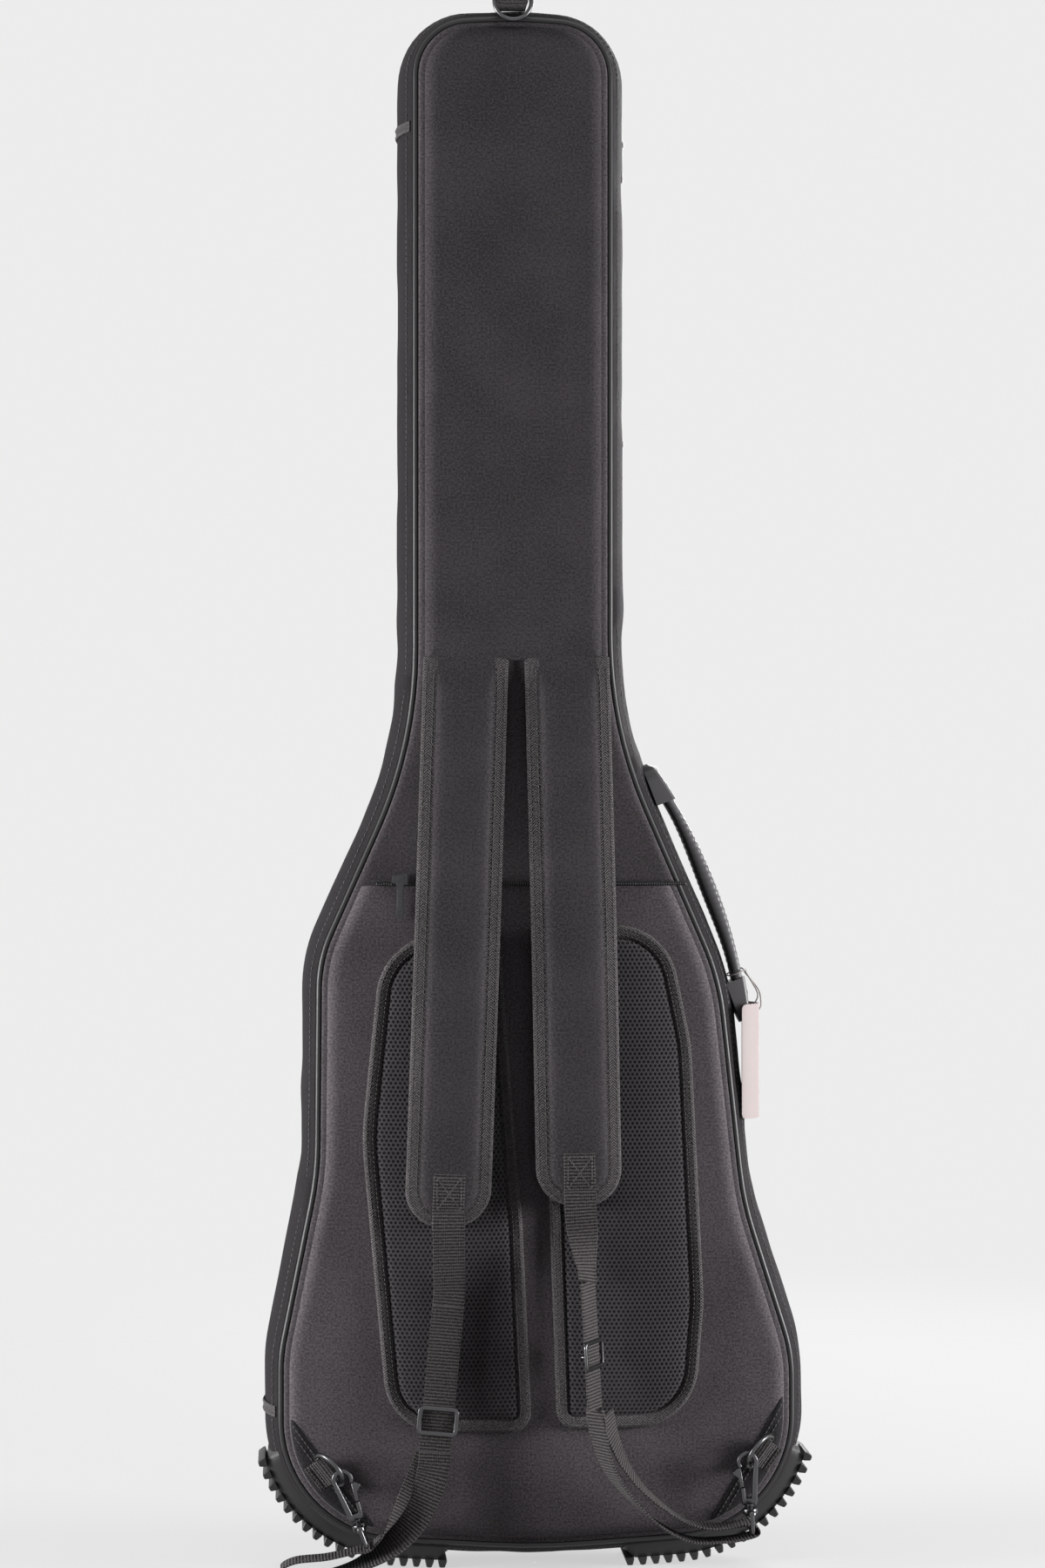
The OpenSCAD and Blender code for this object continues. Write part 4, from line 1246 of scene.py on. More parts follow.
class Look(Enum):
    """Finishes of the pieces."""

    CLOTH = bag_cloth("woven_cloth", (0.056, 0.0505, 0.055), 0.06)
    # Painted light: the bag's same twill made lighter on the pocket, standing for the stronger
    # light that falls there.
    LIT_POCKET = bag_cloth("pocket_cloth_painted_light", (0.109, 0.096, 0.1055), 0.06)
    # Painted light: the same twill made lighter on the back panel, standing for the light on its
    # outer parts.
    LIT_BACK = bag_cloth("back_cloth_painted_light", (0.096, 0.0855, 0.093), 0.05)
    # Painted shade: the same twill made darker on the corner patches, standing for the shade that
    # lies on them.
    SHADED_PATCH = bag_cloth("patch_cloth_painted_shade", (0.025, 0.0232, 0.0253), 0.05)
    # Painted shade: the same twill made darker on the side bands, taking back the side lamps' light
    # on them.
    SHADED_SIDE = bag_cloth("side_cloth_painted_shade", (0.022, 0.0196, 0.0214), 0.04)
    BINDING = Weave(
        "twill_binding", (0.118, 0.1075, 0.1105), Pattern.HERRINGBONE, 2.1, 0.5, sheen=0.1,
        mottle=0.36, contrast=1.6,
    )
    WEBBING = Weave(
        "strap_webbing", (0.072, 0.065, 0.0662), Pattern.RIB, 2.6, 0.5, rough=0.6, sheen=0.08,
        mottle=0.36, contrast=1.7,
    )
    LINING = Weave(
        "quilted_lining", (0.1, 0.096, 0.1), Pattern.QUILT, 34.0, 1.2, rough=0.85, sheen=0.3,
        contrast=0.1,
    )
    MESH = Spacer("spacer_mesh", (0.078, 0.0705, 0.0775))
    PIPING = Smooth("piping_cover", (0.012, 0.0115, 0.0125), 0.42, grain=0.7, relief=0.05)
    THREAD = Smooth("sewing_thread", (0.075, 0.07, 0.073), 0.6, sheen=0.2)
    TAPE = Weave("zip_tape", (0.02, 0.019, 0.02), Pattern.TWILL, 0.8, 0.12, sheen=0.05)
    COIL = Smooth("zip_coil", (0.014, 0.014, 0.015), 0.35, relief=0.01)
    RUBBER = Smooth("moulded_rubber", (0.02, 0.0195, 0.0205), 0.55, grain=0.6, relief=0.08)
    GRIP = Smooth("grip_rubber", (0.1, 0.0955, 0.101), 0.4, grain=0.8, relief=0.08)
    NICKEL = Smooth(
        "black_nickel", (0.1, 0.099, 0.103), 0.3, metal=1.0, grain=3.0, relief=0.01, mottle=0.08
    )
    GUNMETAL = Smooth(
        "dark_plate", (0.07, 0.07, 0.074), 0.34, metal=1.0, grain=2.0, relief=0.01, mottle=0.08
    )
    PLUSH = Weave("plush_pad", (0.1, 0.096, 0.1), Pattern.PLAIN, 0.9, 0.25, rough=0.95, sheen=0.4)
    # The card is pale pink; its colour is also painted darker, standing for the shade it hangs in.
    PAPER = Smooth("tag_card_painted_shade", (0.43, 0.365, 0.36), 0.62, grain=1.2, relief=0.05, mottle=0.03)
    COTTON = Smooth("tag_cotton", (0.42, 0.38, 0.37), 0.8, grain=0.4, relief=0.1, sheen=0.3)


@dataclass
class Shop:
    """Makes finished pieces and keeps the list of them."""

    rim: Rim
    made: dict[Look, bpy.types.Material] = field(default_factory=dict)
    names: list[str] = field(default_factory=list)

    def look(self, look: Look) -> bpy.types.Material:
        """Material of a finish, made once.

        Args:
            look: The finish.

        Returns:
            The material.
        """
        if look not in self.made:
            self.made[look] = look.value.material()
        return self.made[look]

    def piece(
        self, build: Build, name: str, looks: Sequence[Look], nodes: Sequence[str],
        body: Optional[str] = None, sharp: float = 60.0, outward: bool = True,
    ) -> bpy.types.Object:
        """Make a piece, tie it to its body and let it stand for its nodes.

        Args:
            build: Its mesh.
            name: Its name.
            looks: Finishes in the order of their slots.
            nodes: Nodes that it stands for.
            body: Body that it rides on.
            sharp: Angle in degrees past which an edge is sharp.
            outward: Whether faces are merged and turned outward.

        Returns:
            The object.
        """
        obj = build.make(name, [self.look(k) for k in looks], sharp, outward)
        if body is not None:
            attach(obj, body)
        if nodes:
            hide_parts(*nodes)
        self.names.append(name)
        LOG.info("%s stands for %s", name, ", ".join(nodes))
        return obj


@dataclass(frozen=True)
class OnBack:
    """Placing of a panel whose padding rises towards the viewer behind the bag."""

    y: float

    def __call__(self, a: Points, b: Points, h: Points) -> Points:
        """Points of the panel in the part's frame."""
        return np.stack([a, self.y - h, b], axis=-1)


@dataclass(frozen=True)
class OnFront:
    """Placing of a panel whose padding rises towards the front of the bag."""

    y: float

    def __call__(self, a: Points, b: Points, h: Points) -> Points:
        """Points of the panel in the part's frame."""
        return np.stack([a, self.y + h, b], axis=-1)


@dataclass
class Shell:
    """Back panel, neck panel, piping, side band and lining of the rear half."""

    neck_from: float = 725.0
    wall: float = 7.0
    piping: float = 2.6
    piping_in: float = 2.5
    back: Pillow = Pillow(5, 2.0, 0.8, 50, 0.25, 90, 1)
    back_in: float = 4.6
    neck: Pillow = Pillow(
        11, 9.0, 2.6, 26, 0.3, 70, 3, ((16, 952, -30, 884, 0.5), (-62, 1010, -48, 1075, 0.3))
    )
    neck_in: float = 9.5
    quilt: Quilt = Quilt(14, 2.4, 0.6)
    quilt_in: float = 8.0
    quilt_step: float = 6.5
    quilt_y: float = -18.4
    step: float = 6.0
    slats: int = 13
    fade: float = 8.0
    waists: Corners = ((690, 90, 1.0), (330, 80, 0.6))
    seams: Values = (127.0, 1152.0)
    bar: Pair = (9.0, 1.1)
    row_pitch: float = 4.6

    def side(self, shop: Shop, y0: float, y1: float, seed: int) -> Build:
        """Side band between two depths, wrinkled outside and lined inside.

        Args:
            shop: Maker of the finished pieces.
            y0: Rear depth.
            y1: Front depth.
            seed: Number that picks the pattern.

        Returns:
            The mesh.
        """
        rim = shop.rim
        run = rim.loop(self.step)
        rows = np.linspace(y0, y1, self.slats)
        s = np.arange(len(run.points)) * self.step
        z = run.points[:, 1]
        waist = sum(k * np.exp(-((z - middle) / reach) ** 2) for middle, reach, k in self.waists)
        fold = noise(s[:, None], rows[None] * 0.35 + 0 * s[:, None], 26, seed)
        fold = fold * (0.5 + 1.4 * waist[:, None])
        fold = fold + 0.5 * noise(s[:, None], rows[None], 70, seed + 1)
        edge = np.minimum(ease((rows - y0) / self.fade), ease((y1 - rows) / self.fade))[None]
        out = rim.swell(rows)[None] + fold * edge
        inner = np.broadcast_to(rim.swell(np.array([y1, y0])) - self.wall, (len(s), 2))
        reach = np.hstack([out, inner])
        depth = np.concatenate([rows, [y1, y0]])
        p = run.points[:, None] + reach[..., None] * run.normals[:, None]
        build = Build()
        mark = np.array([0] * self.slats + [1, 0])
        build.grid(at_depth(p, depth), close_rows=True, close_cols=True, mark=mark)
        return build

    def seam_rows(self, shop: Shop, build: Build, y: float, mark: int) -> None:
        """Stitch line round the side band.

        Args:
            shop: Maker of the finished pieces.
            build: Mesh that it is added to.
            y: Depth.
            mark: Slot of the finish.
        """
        run = shop.rim.loop(self.step)
        path = at_depth(run.grow(float(shop.rim.swell(y)) + 0.3), y)
        build.stitches(
            closed_row(path), closed_row(at_depth(run.normals, 0.0)), self.row_pitch, mark
        )

    def seam_bars(
        self, shop: Shop, build: Build, y0: float, y1: float, tape: int, thread: int
    ) -> None:
        """Taped joints across the side band on its left side.

        Args:
            shop: Maker of the finished pieces.
            build: Mesh that it is added to.
            y0: Rear depth.
            y1: Front depth.
            tape: Slot of the tape.
            thread: Slot of the thread.
        """
        run = shop.rim.loop(2.0)
        y = np.linspace(y0, y1, 16)
        for z in self.seams:
            i = int(np.argmin(np.abs(run.points[:, 1] - z) + 1e3 * (run.points[:, 0] > -60)))
            n = run.normals[i]
            along = np.array([-n[1], 0, n[0]])
            out = np.array([n[0], 0, n[1]])
            path = at_depth(run.points[i] + (shop.rim.swell(y) + 0.6)[:, None] * n, y)
            build.strip(path, along, *self.bar, mark=tape)
            for side in (-3.0, 3.0):
                build.stitches(path + side * along + 0.6 * out, out, 3.4, thread)

    def piping_loop(self, shop: Shop, y: float) -> Build:
        """Piping cord round the outline.

        Args:
            shop: Maker of the finished pieces.
            y: Depth.

        Returns:
            The mesh.
        """
        build = Build()
        line = shop.rim.loop(self.step).grow(-self.piping_in)
        build.tube(at_depth(line, y), self.piping, 10, closed=True)
        return build

    def build(self, shop: Shop) -> None:
        """Make the pieces.

        Args:
            shop: Maker of the finished pieces.
        """
        rim = shop.rim
        loop = rim.loop(5.0)
        back = Build()
        Panel(loop.grow(-self.back_in), self.back, OnBack(rim.skin + 2), 16).lay(back)
        # The back panel wears the lighter copy of the twill: painted light.
        shop.piece(back, "back_skin", [Look.LIT_BACK], ["back_panel", "back_foam"], "bag")
        outline = soften(clip(loop.grow(-self.neck_in), (0, -1), -self.neck_from), 4.0)
        neck = Build()
        Panel(outline, self.neck, OnBack(rim.skin + 0.4), 9).lay(neck)
        shop.piece(
                neck, "neck_cushion", [Look.CLOTH], ["neck_panel"], "bag", outward=False
            )
        shop.piece(
            self.piping_loop(shop, rim.back), "rear_piping", [Look.PIPING],
            ["back_piping"], "bag",
        )
        side = self.side(shop, rim.back + 1.0, rim.split - 0.4, 11)
        self.seam_rows(shop, side, rim.back + 10, 2)
        self.seam_bars(shop, side, rim.back + 3, rim.split - 12, 3, 2)
        # The side band wears the darker copy of the twill: painted shade.
        looks = [Look.SHADED_SIDE, Look.LINING, Look.THREAD, Look.BINDING]
        shop.piece(side, "rear_side_band", looks, ["gusset_rear"], "bag")
        lining = Build()
        place = OnFront(self.quilt_y)
        Panel(loop.grow(-self.quilt_in), self.quilt, place, self.quilt_step).lay(lining)
        shop.piece(lining, "rear_lining", [Look.LINING], ["back_lining"], "bag")


def zip_coil(x: Points, rows: Sequence[Pair], out: Sequence[float]) -> Build:
    """Level rows of coil teeth on their tape.

    Args:
        x: Places of the teeth.
        rows: Depth and height of each row.
        out: Direction away from the surface.

    Returns:
        The mesh.
    """
    build = Build()
    for y, z in rows:
        at = np.stack([x, np.full(len(x), y), np.full(len(x), z)], 1)
        build.beads(at, UP, out, 3.0, 0.85)
        build.strip(at[[0, -1]], UP, 2.2, 1.0, mark=1)
    return build


RING_PLACES: dict[str, tuple[Pair, float]] = {
    "left": ((-168.7, 84.0), -52.0), "right": ((177.8, 95.0), 54.0),
}


@dataclass
class BackPocket:
    """Flat pocket on the lower back with its zip and corner patches."""

    top: float = 546.0
    lap: float = 14.0
    body: Pillow = Pillow(
        9, 6.6, 4.0, 45, 0.45, 80, 5,
        ((62, 526, 128, 512, 0.5), (-150, 470, -132, 400, 0.35), (150, 200, 120, 130, 0.4)),
    )
    diagonals: Quads = (
        (-205, 137, -125, 29.5), (203, 151, 134, 33.5)
    )
    zip_from: float = -128.0
    zip_to: float = 118.0
    tooth: float = 1.9
    lip: Pairs = ((0, 0), (0.8, 0.5), (2.6, 0.4), (3.2, -1), (3.4, -40))
    patch_in: float = 10.0
    patch_edge: Pillow = Pillow(1.5, 1.3)
    patch_rings: Values = (0.4, 1.0, 2.2, 4.5)
    patch_rows: Values = (3.0, 7.0)
    row_ends: Pair = (0.06, 0.03)
    row_up: float = 1.4

    def shape(self, rim: Rim) -> Points:
        """Outline that the padding is measured from, run on above the opening."""
        return soften(clip(rim.loop(5.0).grow(-9), (0, 1), self.top + self.lap), 4.0)

    def outline(self, rim: Rim) -> Points:
        """Outline of the pocket."""
        return evenly(clip(self.shape(rim), (0, 1), self.top), 3.0, closed=True)

    def height(self, rim: Rim, a: Points, b: Points) -> Points:
        """Height of the pocket's face over the back."""
        at = np.stack([a, b], axis=-1)
        return self.body(edge_distance(self.shape(rim), at), a, b)

    def patch(self, shop: Shop, build: Build, line: Quad) -> None:
        """Corner patch with two rows of stitches along its slanting edge.

        Args:
            shop: Maker of the finished pieces.
            build: Mesh that it is added to.
            line: Ends of the slanting edge.
        """
        rim = shop.rim
        a, b = np.array(line[:2]), np.array(line[2:])
        n = unit(np.array([-(b - a)[1], (b - a)[0]]))
        n = n if n[1] > 0 else -n
        outline = soften(clip(rim.loop(5.0).grow(-self.patch_in), n, float(n @ a)), 3.0)

        def place(x: Points, z: Points, h: Points) -> Points:
            """Lay the patch on the pocket's face."""
            return np.stack([x, rim.skin - self.height(rim, x, z) - h, z], axis=-1)

        Panel(outline, self.patch_edge, place, 7, self.patch_rings).lay(build)
        for inset in self.patch_rows:
            upper, lower = self.row_ends
            ends = np.array([a + (b - a) * upper, b - (b - a) * lower]) - inset * n
            path = evenly(ends, 4.0)
            path = path[inside(outline, path)]
            spots = place(path[:, 0], path[:, 1], np.full(len(path), self.row_up))
            build.stitches(spots, BACKWARD, 4.0, 1)

    def build(self, shop: Shop) -> None:
        """Make the pieces.

        Args:
            shop: Maker of the finished pieces.
        """
        rim = shop.rim
        pocket = Build()
        panel = Panel(self.outline(rim), self.body, OnBack(rim.skin), 10, measure=self.shape(rim))
        panel.lay(pocket)
        edge = self.outline(rim)
        edge = edge[edge[:, 1] > self.top - 0.5]
        x = np.linspace(edge[:, 0].min() + 1.5, edge[:, 0].max() - 1.5, 60)
        z = np.full(len(x), self.top)
        y = rim.skin - self.height(rim, x, z)
        pocket.grid(np.stack([np.stack([x, y + dy, z + dz], 1) for dy, dz in self.lip]))
        # The pocket's face wears the lighter copy of the twill: painted light.
        shop.piece(
            pocket, "back_pocket_face", [Look.LIT_POCKET], ["pocket_panel"], "bag",
            outward=False,
        )
        x = np.arange(self.zip_from, self.zip_to, self.tooth)
        rows = ((rim.face + 1.5, self.top + 1.6), (rim.skin - 1.2, self.top + 2.0))
        coil = zip_coil(x, rows, BACKWARD)
        shop.piece(coil, "back_pocket_zip", [Look.COIL, Look.TAPE], ["pocket_zip"], "bag")
        patches = Build()
        for line in self.diagonals:
            self.patch(shop, patches, line)
        for side in RING_PLACES:
            RingTab().sew(patches, rim, side, 2)
        # The corner patches wear the darker copy of the twill: painted shade.
        shop.piece(
            patches, "corner_patch_pair", [Look.SHADED_PATCH, Look.THREAD, Look.WEBBING],
            ["corner_patches"], "bag", outward=False,
        )


@dataclass
class BackPads:
    """Two cushions of spacer mesh with bound edges."""

    thick: float = 12.0
    bind: float = 10.0
    rim: float = 5.2
    rim_in: float = 2.6
    crown_less: float = 4.2
    reach: float = 17.0
    groove: float = 1.5
    seam: float = 0.4
    step: float = 2.6
    rows: Values = (2.9, 7.9)
    rings: Values = (
        0.4, 1.0, 1.8, 2.8, 4.5, 6.5, 8.5, 9.5, 10.2, 10.9, 12.0, 13.8, 16.5, 20.5,
    )
    left: Corners = (
        (-119, 113, 45), (-5, 112, 16), (-12.6, 277, 300), (-31, 508, 18), (-124, 508, 52),
        (-140.5, 347, 200),
    )
    right: Corners = (
        (14.5, 114, 16), (124, 116, 50), (132, 215, 120), (122, 420, 150), (102, 515, 50),
        (2, 515, 15), (8, 300, 300),
    )

    def profile(self, d: Points, a: Points, b: Points) -> Points:
        """Height of a pad: a firm bound rim, a crease, then a soft crown.

        Args:
            d: Distance from the edge.
            a: First coordinate on the panel.
            b: Second coordinate on the panel.

        Returns:
            Height at each place.
        """
        rim = self.rim * np.sqrt(1 - (1 - np.clip(d / self.rim_in, 0, 1)) ** 2)
        rim = rim - 0.8 * ease((d - 5) / 5.5)
        past = d - self.bind - self.seam
        crown = (self.thick - self.crown_less) * (1 - np.exp(-np.maximum(past, 0) / self.reach))
        dip = -self.groove * np.exp(-(past / self.groove) ** 2)
        return rim + crown + dip * (d > 5) + 0.35 * noise(a, b, 45, 9) * ease((d - 14) / 25)

    def build(self, shop: Shop) -> None:
        """Make the pieces.

        Args:
            shop: Maker of the finished pieces.
        """
        for name, table in (("left", self.left), ("right", self.right)):
            run = Run.joined(Run.rounded(table))
            loop = evenly(run.points, self.step, closed=True)
            place = OnBack(shop.rim.face + 0.5)
            build = Build()
            Panel(loop, self.profile, place, 6.0, self.rings, trim=self.bind).lay(build)
            for inset in self.rows:
                inner = soften(run.even(self.step, closed=True).grow(-inset), 2.0)
                h = self.profile(edge_distance(loop, inner), inner[:, 0], inner[:, 1])
                path = place(inner[:, 0], inner[:, 1], h)
                build.stitches(closed_row(path), BACKWARD, 3.6, 2, 0.4)
            obj = shop.piece(
                build, f"back_pad_{name}", [Look.MESH, Look.BINDING, Look.THREAD],
                [f"mesh_pad_{name}"], "bag", outward=False,
            )


@dataclass
class Strap:
    """Padded shoulder strap with bound edges and its sewn webbing tab."""

    side: str
    top_x: float
    tip_x: float
    tip_z: float
    body: str
    top_z: float = 722.0
    bend_z: float = 500.0
    soft: float = 0.2
    low: float = -55.3
    width: float = 68.0
    thick: float = 12.0
    bind: float = 11.0
    tuck: float = 7.0
    rim: float = 3.4
    rim_in: float = 2.2
    arch_less: float = 5.6
    crown: float = 2.2
    reach: float = 3.0
    groove: float = 0.45
    groove_wide: float = 0.9
    seam: float = 0.2
    flat_end: float = 26.0
    tip_round: float = 30.0
    run_on: float = 90.0
    rows: Values = (2.7, 8.6)
    tab: Pair = (25.0, 1.7)
    tab_long: float = 43.0
    box: Corner = (9.5, 15.0, 40.0)
    rings: Values = (
        0.4, 1.0, 1.8, 2.8, 4.5, 6.5, 8.5, 10.2, 11.0, 11.8, 13.2, 15.5, 18.5
    )

    def y(self, rim: Rim, z: Points) -> Points:
        """Depth of the inner face at a height.

        Args:
            rim: Outline and depths of the bag.
            z: Height.

        Returns:
            Depth at each height.
        """
        t = (np.asarray(z, float) - self.bend_z) / (self.top_z - self.bend_z)
        bend = (t + self.soft) ** 2 / (4 * self.soft)
        ramp = np.where(t < -self.soft, 0, np.where(t > self.soft, t, bend))
        return self.low + (rim.skin - 0.6 - self.low) * np.minimum(ramp, 1.0)

    def x(self, z: Points) -> Points:
        """Middle of the strap at a height."""
        drop = self.top_z - np.asarray(z)
        return self.top_x + (self.tip_x - self.top_x) * drop / (self.top_z - self.tip_z)

    def profile(self, d: Points, a: Points, b: Points) -> Points:
        """Height of the padding.

        Args:
            d: Distance from the edge.
            a: First coordinate on the panel.
            b: Second coordinate on the panel.

        Returns:
            Height at each place.
        """
        past = d - self.bind - self.seam
        rim = self.rim * np.sqrt(1 - (1 - np.clip(d / self.rim_in, 0, 1)) ** 2)
        arch = (self.thick - self.arch_less) * (1 - (1 - np.clip(2 * d / self.width, 0, 1)) ** 2)
        crown = self.crown * (1 - np.exp(-np.maximum(past, 0) / self.reach))
        dip = -self.groove * np.exp(-(past / self.groove_wide) ** 2)
        flat = 1 - 0.72 * ease((b - self.top_z + self.flat_end) / self.flat_end)
        ripple = 0.3 * noise(a, b, 34, 4) * ease((d - 13) / 10)
        return rim + (arch + crown + ripple) * flat + dip * flat

    def outline(self, top: float) -> Points:
        """Flat outline, square at the top and round at the tip.

        Args:
            top: Height of the square end.

        Returns:
            The outline.
        """
        w, r = self.width / 2, self.tip_round
        table = [(-w, top, 1), (-w, self.tip_z, r), (w, self.tip_z, r), (w, top, 1)]
        return evenly(Run.joined(Run.rounded(table)).points, 2.6, closed=True)

    def row(self, inset: float) -> Points:
        """Line of a stitch row that follows the bound edge.

        Args:
            inset: Distance in from the edge.

        Returns:
            Points of the row.
        """
        w, r, low = self.width / 2 - inset, self.tip_round - inset, self.tip_z + inset
        left = circle(180, 270, 14, r) + (-w + r, low + r)
        top = self.top_z - 3
        return evenly(np.vstack([[[-w, top]], left, (left * (-1, 1))[::-1], [[w, top]]]), 3.0)

    def box_and_cross(self, build: Build, path: Points) -> None:
        """Stitches that hold the webbing tab on the strap.

        Args:
            build: Mesh that it is added to.
            path: Middle line of the tab.
        """
        w, low, high = self.box[0], self.tip_z + self.box[1], self.tip_z + self.box[2]
        cx = float(self.x((low + high) / 2))
        corner = [(-w, low), (w, low), (w, high), (-w, high)]
        sides = list(zip(corner, corner[1:] + corner[:1]))
        for (x0, z0), (x1, z1) in sides + [(corner[0], corner[2]), (corner[1], corner[3])]:
            line = evenly(np.array([[cx + x0, 0, z0], [cx + x1, 0, z1]]), 3.0)
            line[:, 1] = np.interp(line[:, 2], path[:, 2], path[:, 1] - 0.85)
            build.stitches(line, BACKWARD, 3.1, 2, 0.42)

    def build(self, shop: Shop) -> None:
        """Make the piece.

        Args:
            shop: Maker of the finished pieces.
        """
        rim = shop.rim

        def place(a: Points, b: Points, h: Points) -> Points:
            """Lay the flat strap on its bent line."""
            return np.stack([a + self.x(b), self.y(rim, b) - h, b], axis=-1)

        build = Build()
        measure = self.outline(self.top_z + self.run_on)
        outline = self.outline(self.top_z + self.tuck)
        panel = Panel(outline, self.profile, place, 6.0, self.rings, measure, trim=self.bind)
        panel.lay(build, under=0.0)
        for inset in self.rows:
            line = self.row(inset)
            h = self.profile(edge_distance(measure, line), line[:, 0], line[:, 1])
            build.stitches(place(line[:, 0], line[:, 1], h), BACKWARD, 3.6, 2, 0.4)
        z = np.linspace(self.tip_z - 1.5, self.tip_z + self.tab_long, 16)
        middle = np.stack([0 * z, np.maximum(z, self.tip_z + 0.1)], 1)
        h = self.profile(edge_distance(measure, middle), 0 * z, z)
        path = place(0 * z, z, np.maximum(h, h[6]) + 1.0)
        build.strip(path, (1, 0, 0), *self.tab, mark=3)
        self.box_and_cross(build, path)
        obj = shop.piece(
            build, f"shoulder_strap_{self.side}",
            [Look.CLOTH, Look.BINDING, Look.THREAD, Look.WEBBING],
            [f"strap_{self.side}"], self.body, outward=False,
        )


STRAPS = (
    Strap("left", top_x=-57.3, tip_x=-73.2, tip_z=277.0, body="strap_l"),
    Strap("right", top_x=23.4, tip_x=31.5, tip_z=293.0, body="strap_r"),
)


@dataclass
class Webbing:
    """Flat webbing of one strap with its tri-glide."""

    side: str
    mid: tuple[Pair, Pair]
    mid_y: float
    spin: float
    glide_at: float
    upper: Quads
    lower: Quads
    strap_body: str
    body: str
    glide_body: str
    width: float = 25.0
    thick: float = 1.6
    loop_half: Pair = (14.7, 9.9)
    loop_round: float = 3.4
    loop_wire: Pair = (2.5, 3.3)
    loop_y: float = -2.3
    bar_half: Corners = ((14.4, -1.6, 0), (14.3, 0.6, 0), (13.4, 2.2, 0), (11, 2.6, 0))
    bar_wire: float = 1.45
    floor_at: float = 34.0

    def ribbon(self, build: Build, points: Sequence[Sequence[float]]) -> None:
        """Ribbon through points with a turn about its own line.

        Args:
            build: Mesh that it is added to.
            points: Place and turn in degrees of each point.
        """
        c = through(points, 10)
        t = unit(np.gradient(c[:, :3], axis=0))
        f = unit(np.cross([0, 1, 0], t))
        g = np.cross(t, f)
        a = np.radians(c[:, 3:])
        build.strip(c[:, :3], f * np.cos(a) + g * np.sin(a), self.width, self.thick)

    def frame(self) -> Frame:
        """Frame of the straight stretch, its Z up along the webbing.

        Returns:
            The frame.
        """
        (x1, z1), (x0, z0) = self.mid
        tilt = math.atan2(x1 - x0, z1 - z0)
        c, s = math.cos(tilt), math.sin(tilt)
        axes = np.array([[c, 0, -s], [0, 1, 0], [s, 0, c]])
        return Frame(np.array([x0, self.mid_y, z0]), axes).spun(self.spin)

    def glide(self, build: Build) -> None:
        """Tri-glide: a rounded frame before the webbing and a bar behind it.

        Args:
            build: Mesh that it is added to.
        """
        f = self.frame().moved(0, 0, self.glide_at)
        (w, h), r = self.loop_half, self.loop_round
        table = [(-w, -h, r), (w, -h, r), (w, h, r), (-w, h, r)]
        loop = Run.joined(Run.rounded(table, math.radians(12))).points
        build.strip(
            f.at(at_depth(loop, self.loop_y)), f.axes[1], *self.loop_wire, BAR_SECTION, closed=True
        )
        right = np.array(self.bar_half)
        bar = np.vstack([right * (-1, 1, 1), right[::-1]])
        build.tube(f.at(through(bar, 4)), self.bar_wire, 12)

    def build(self, shop: Shop) -> None:
        """Make the pieces.

        Args:
            shop: Maker of the finished pieces.
        """
        f = self.frame()
        up = np.linspace(0, math.dist(*self.mid), 9)
        top, straight, slack, metal = Build(), Build(), Build(), Build()
        self.ribbon(top, self.upper)
        straight.strip(f.at(np.stack([0 * up, 0 * up, up], 1)), f.axes[0], self.width, self.thick)
        self.ribbon(slack, self.lower)
        self.glide(metal)
        upper, _, loop = (
            shop.piece(
                build, f"webbing_{name}_{self.side}", [Look.WEBBING],
                [f"webbing_{node}_{self.side}"], body,
            )
            for build, name, node, body in (
                (top, "upper", "top", None), (straight, "run", "mid", self.body),
                (slack, "slack", "lower", None),
            )
        )
        shop.piece(
            metal, f"tri_glide_frame_{self.side}", [Look.NICKEL],
            [f"tri_glide_{self.side}"], self.glide_body,
        )
        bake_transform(upper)
        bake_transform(loop)


WEBBINGS = (
    Webbing(
        side="left", mid=((-72.5, 215.0), (-83.0, 100.0)), mid_y=-58.6, spin=0.0, glide_at=25.0,
        upper=(
            (-72.6, -69.0, 290.4, 0), (-72.6, -69.0, 276, 0), (-72.1, -63.6, 248, 0),
            (-71.5, -58.6, 227, 0), (-72.5, -58.6, 215.2, 0),
        ),
        lower=(
            (-83.0, -58.6, 99.9, 0), (-84.2, -58.6, 87, 0), (-88, -59.6, 74, 0),
            (-99, -60.6, 51, 10), (-116, -62, 31, 40), (-140, -60.5, 14, 75), (-168, -60, 5.5, 88),
            (-192, -60, 4, 90), (-204, -60, 10, 90), (-193, -60, 16.5, 90), (-168, -60, 19, 90),
            (-146, -60, 23.6, 90), (-137, -60, 24.4, 90), (-131, -60, 29, 90),
            (-121, -60.5, 39, 80), (-106, -59.5, 58, 40), (-93, -57.9, 80, 5),
            (-86.4, -56.6, 96, 0),
        ),
        strap_body="strap_l", body="web_l", glide_body="glide_l",
    ),
    Webbing(
        side="right", mid=((37.0, 235.0), (42.5, 135.0)), mid_y=-71.4, spin=60.0, glide_at=43.0,
        upper=(
            (31.2, -69.0, 306.4, 0), (31.6, -69.0, 290, 0), (33.5, -70.0, 268, 30),
            (36, -71.4, 246, 60), (37, -71.4, 235.4, 60),
        ),
        lower=(
            (42.6, -71.4, 134.6, 60), (45.5, -71.4, 115, 62), (54, -69, 87, 70), (72, -66, 62, 80),
            (97, -62, 40, 88), (120, -60, 29, 90), (146, -60, 28.5, 90), (163, -60, 31, 90),
            (172.6, -60, 34.6, 90), (170.5, -60, 40.6, 90), (160, -60, 41.5, 90),
            (136, -60, 39, 90), (112, -60.5, 46, 90), (84, -64.5, 68, 84), (66, -67.5, 92, 75),
            (56, -70.6, 116, 66), (52, -72.4, 132, 62),
        ),
        strap_body="strap_r", body="web_r", glide_body="glide_r",
    ),
)


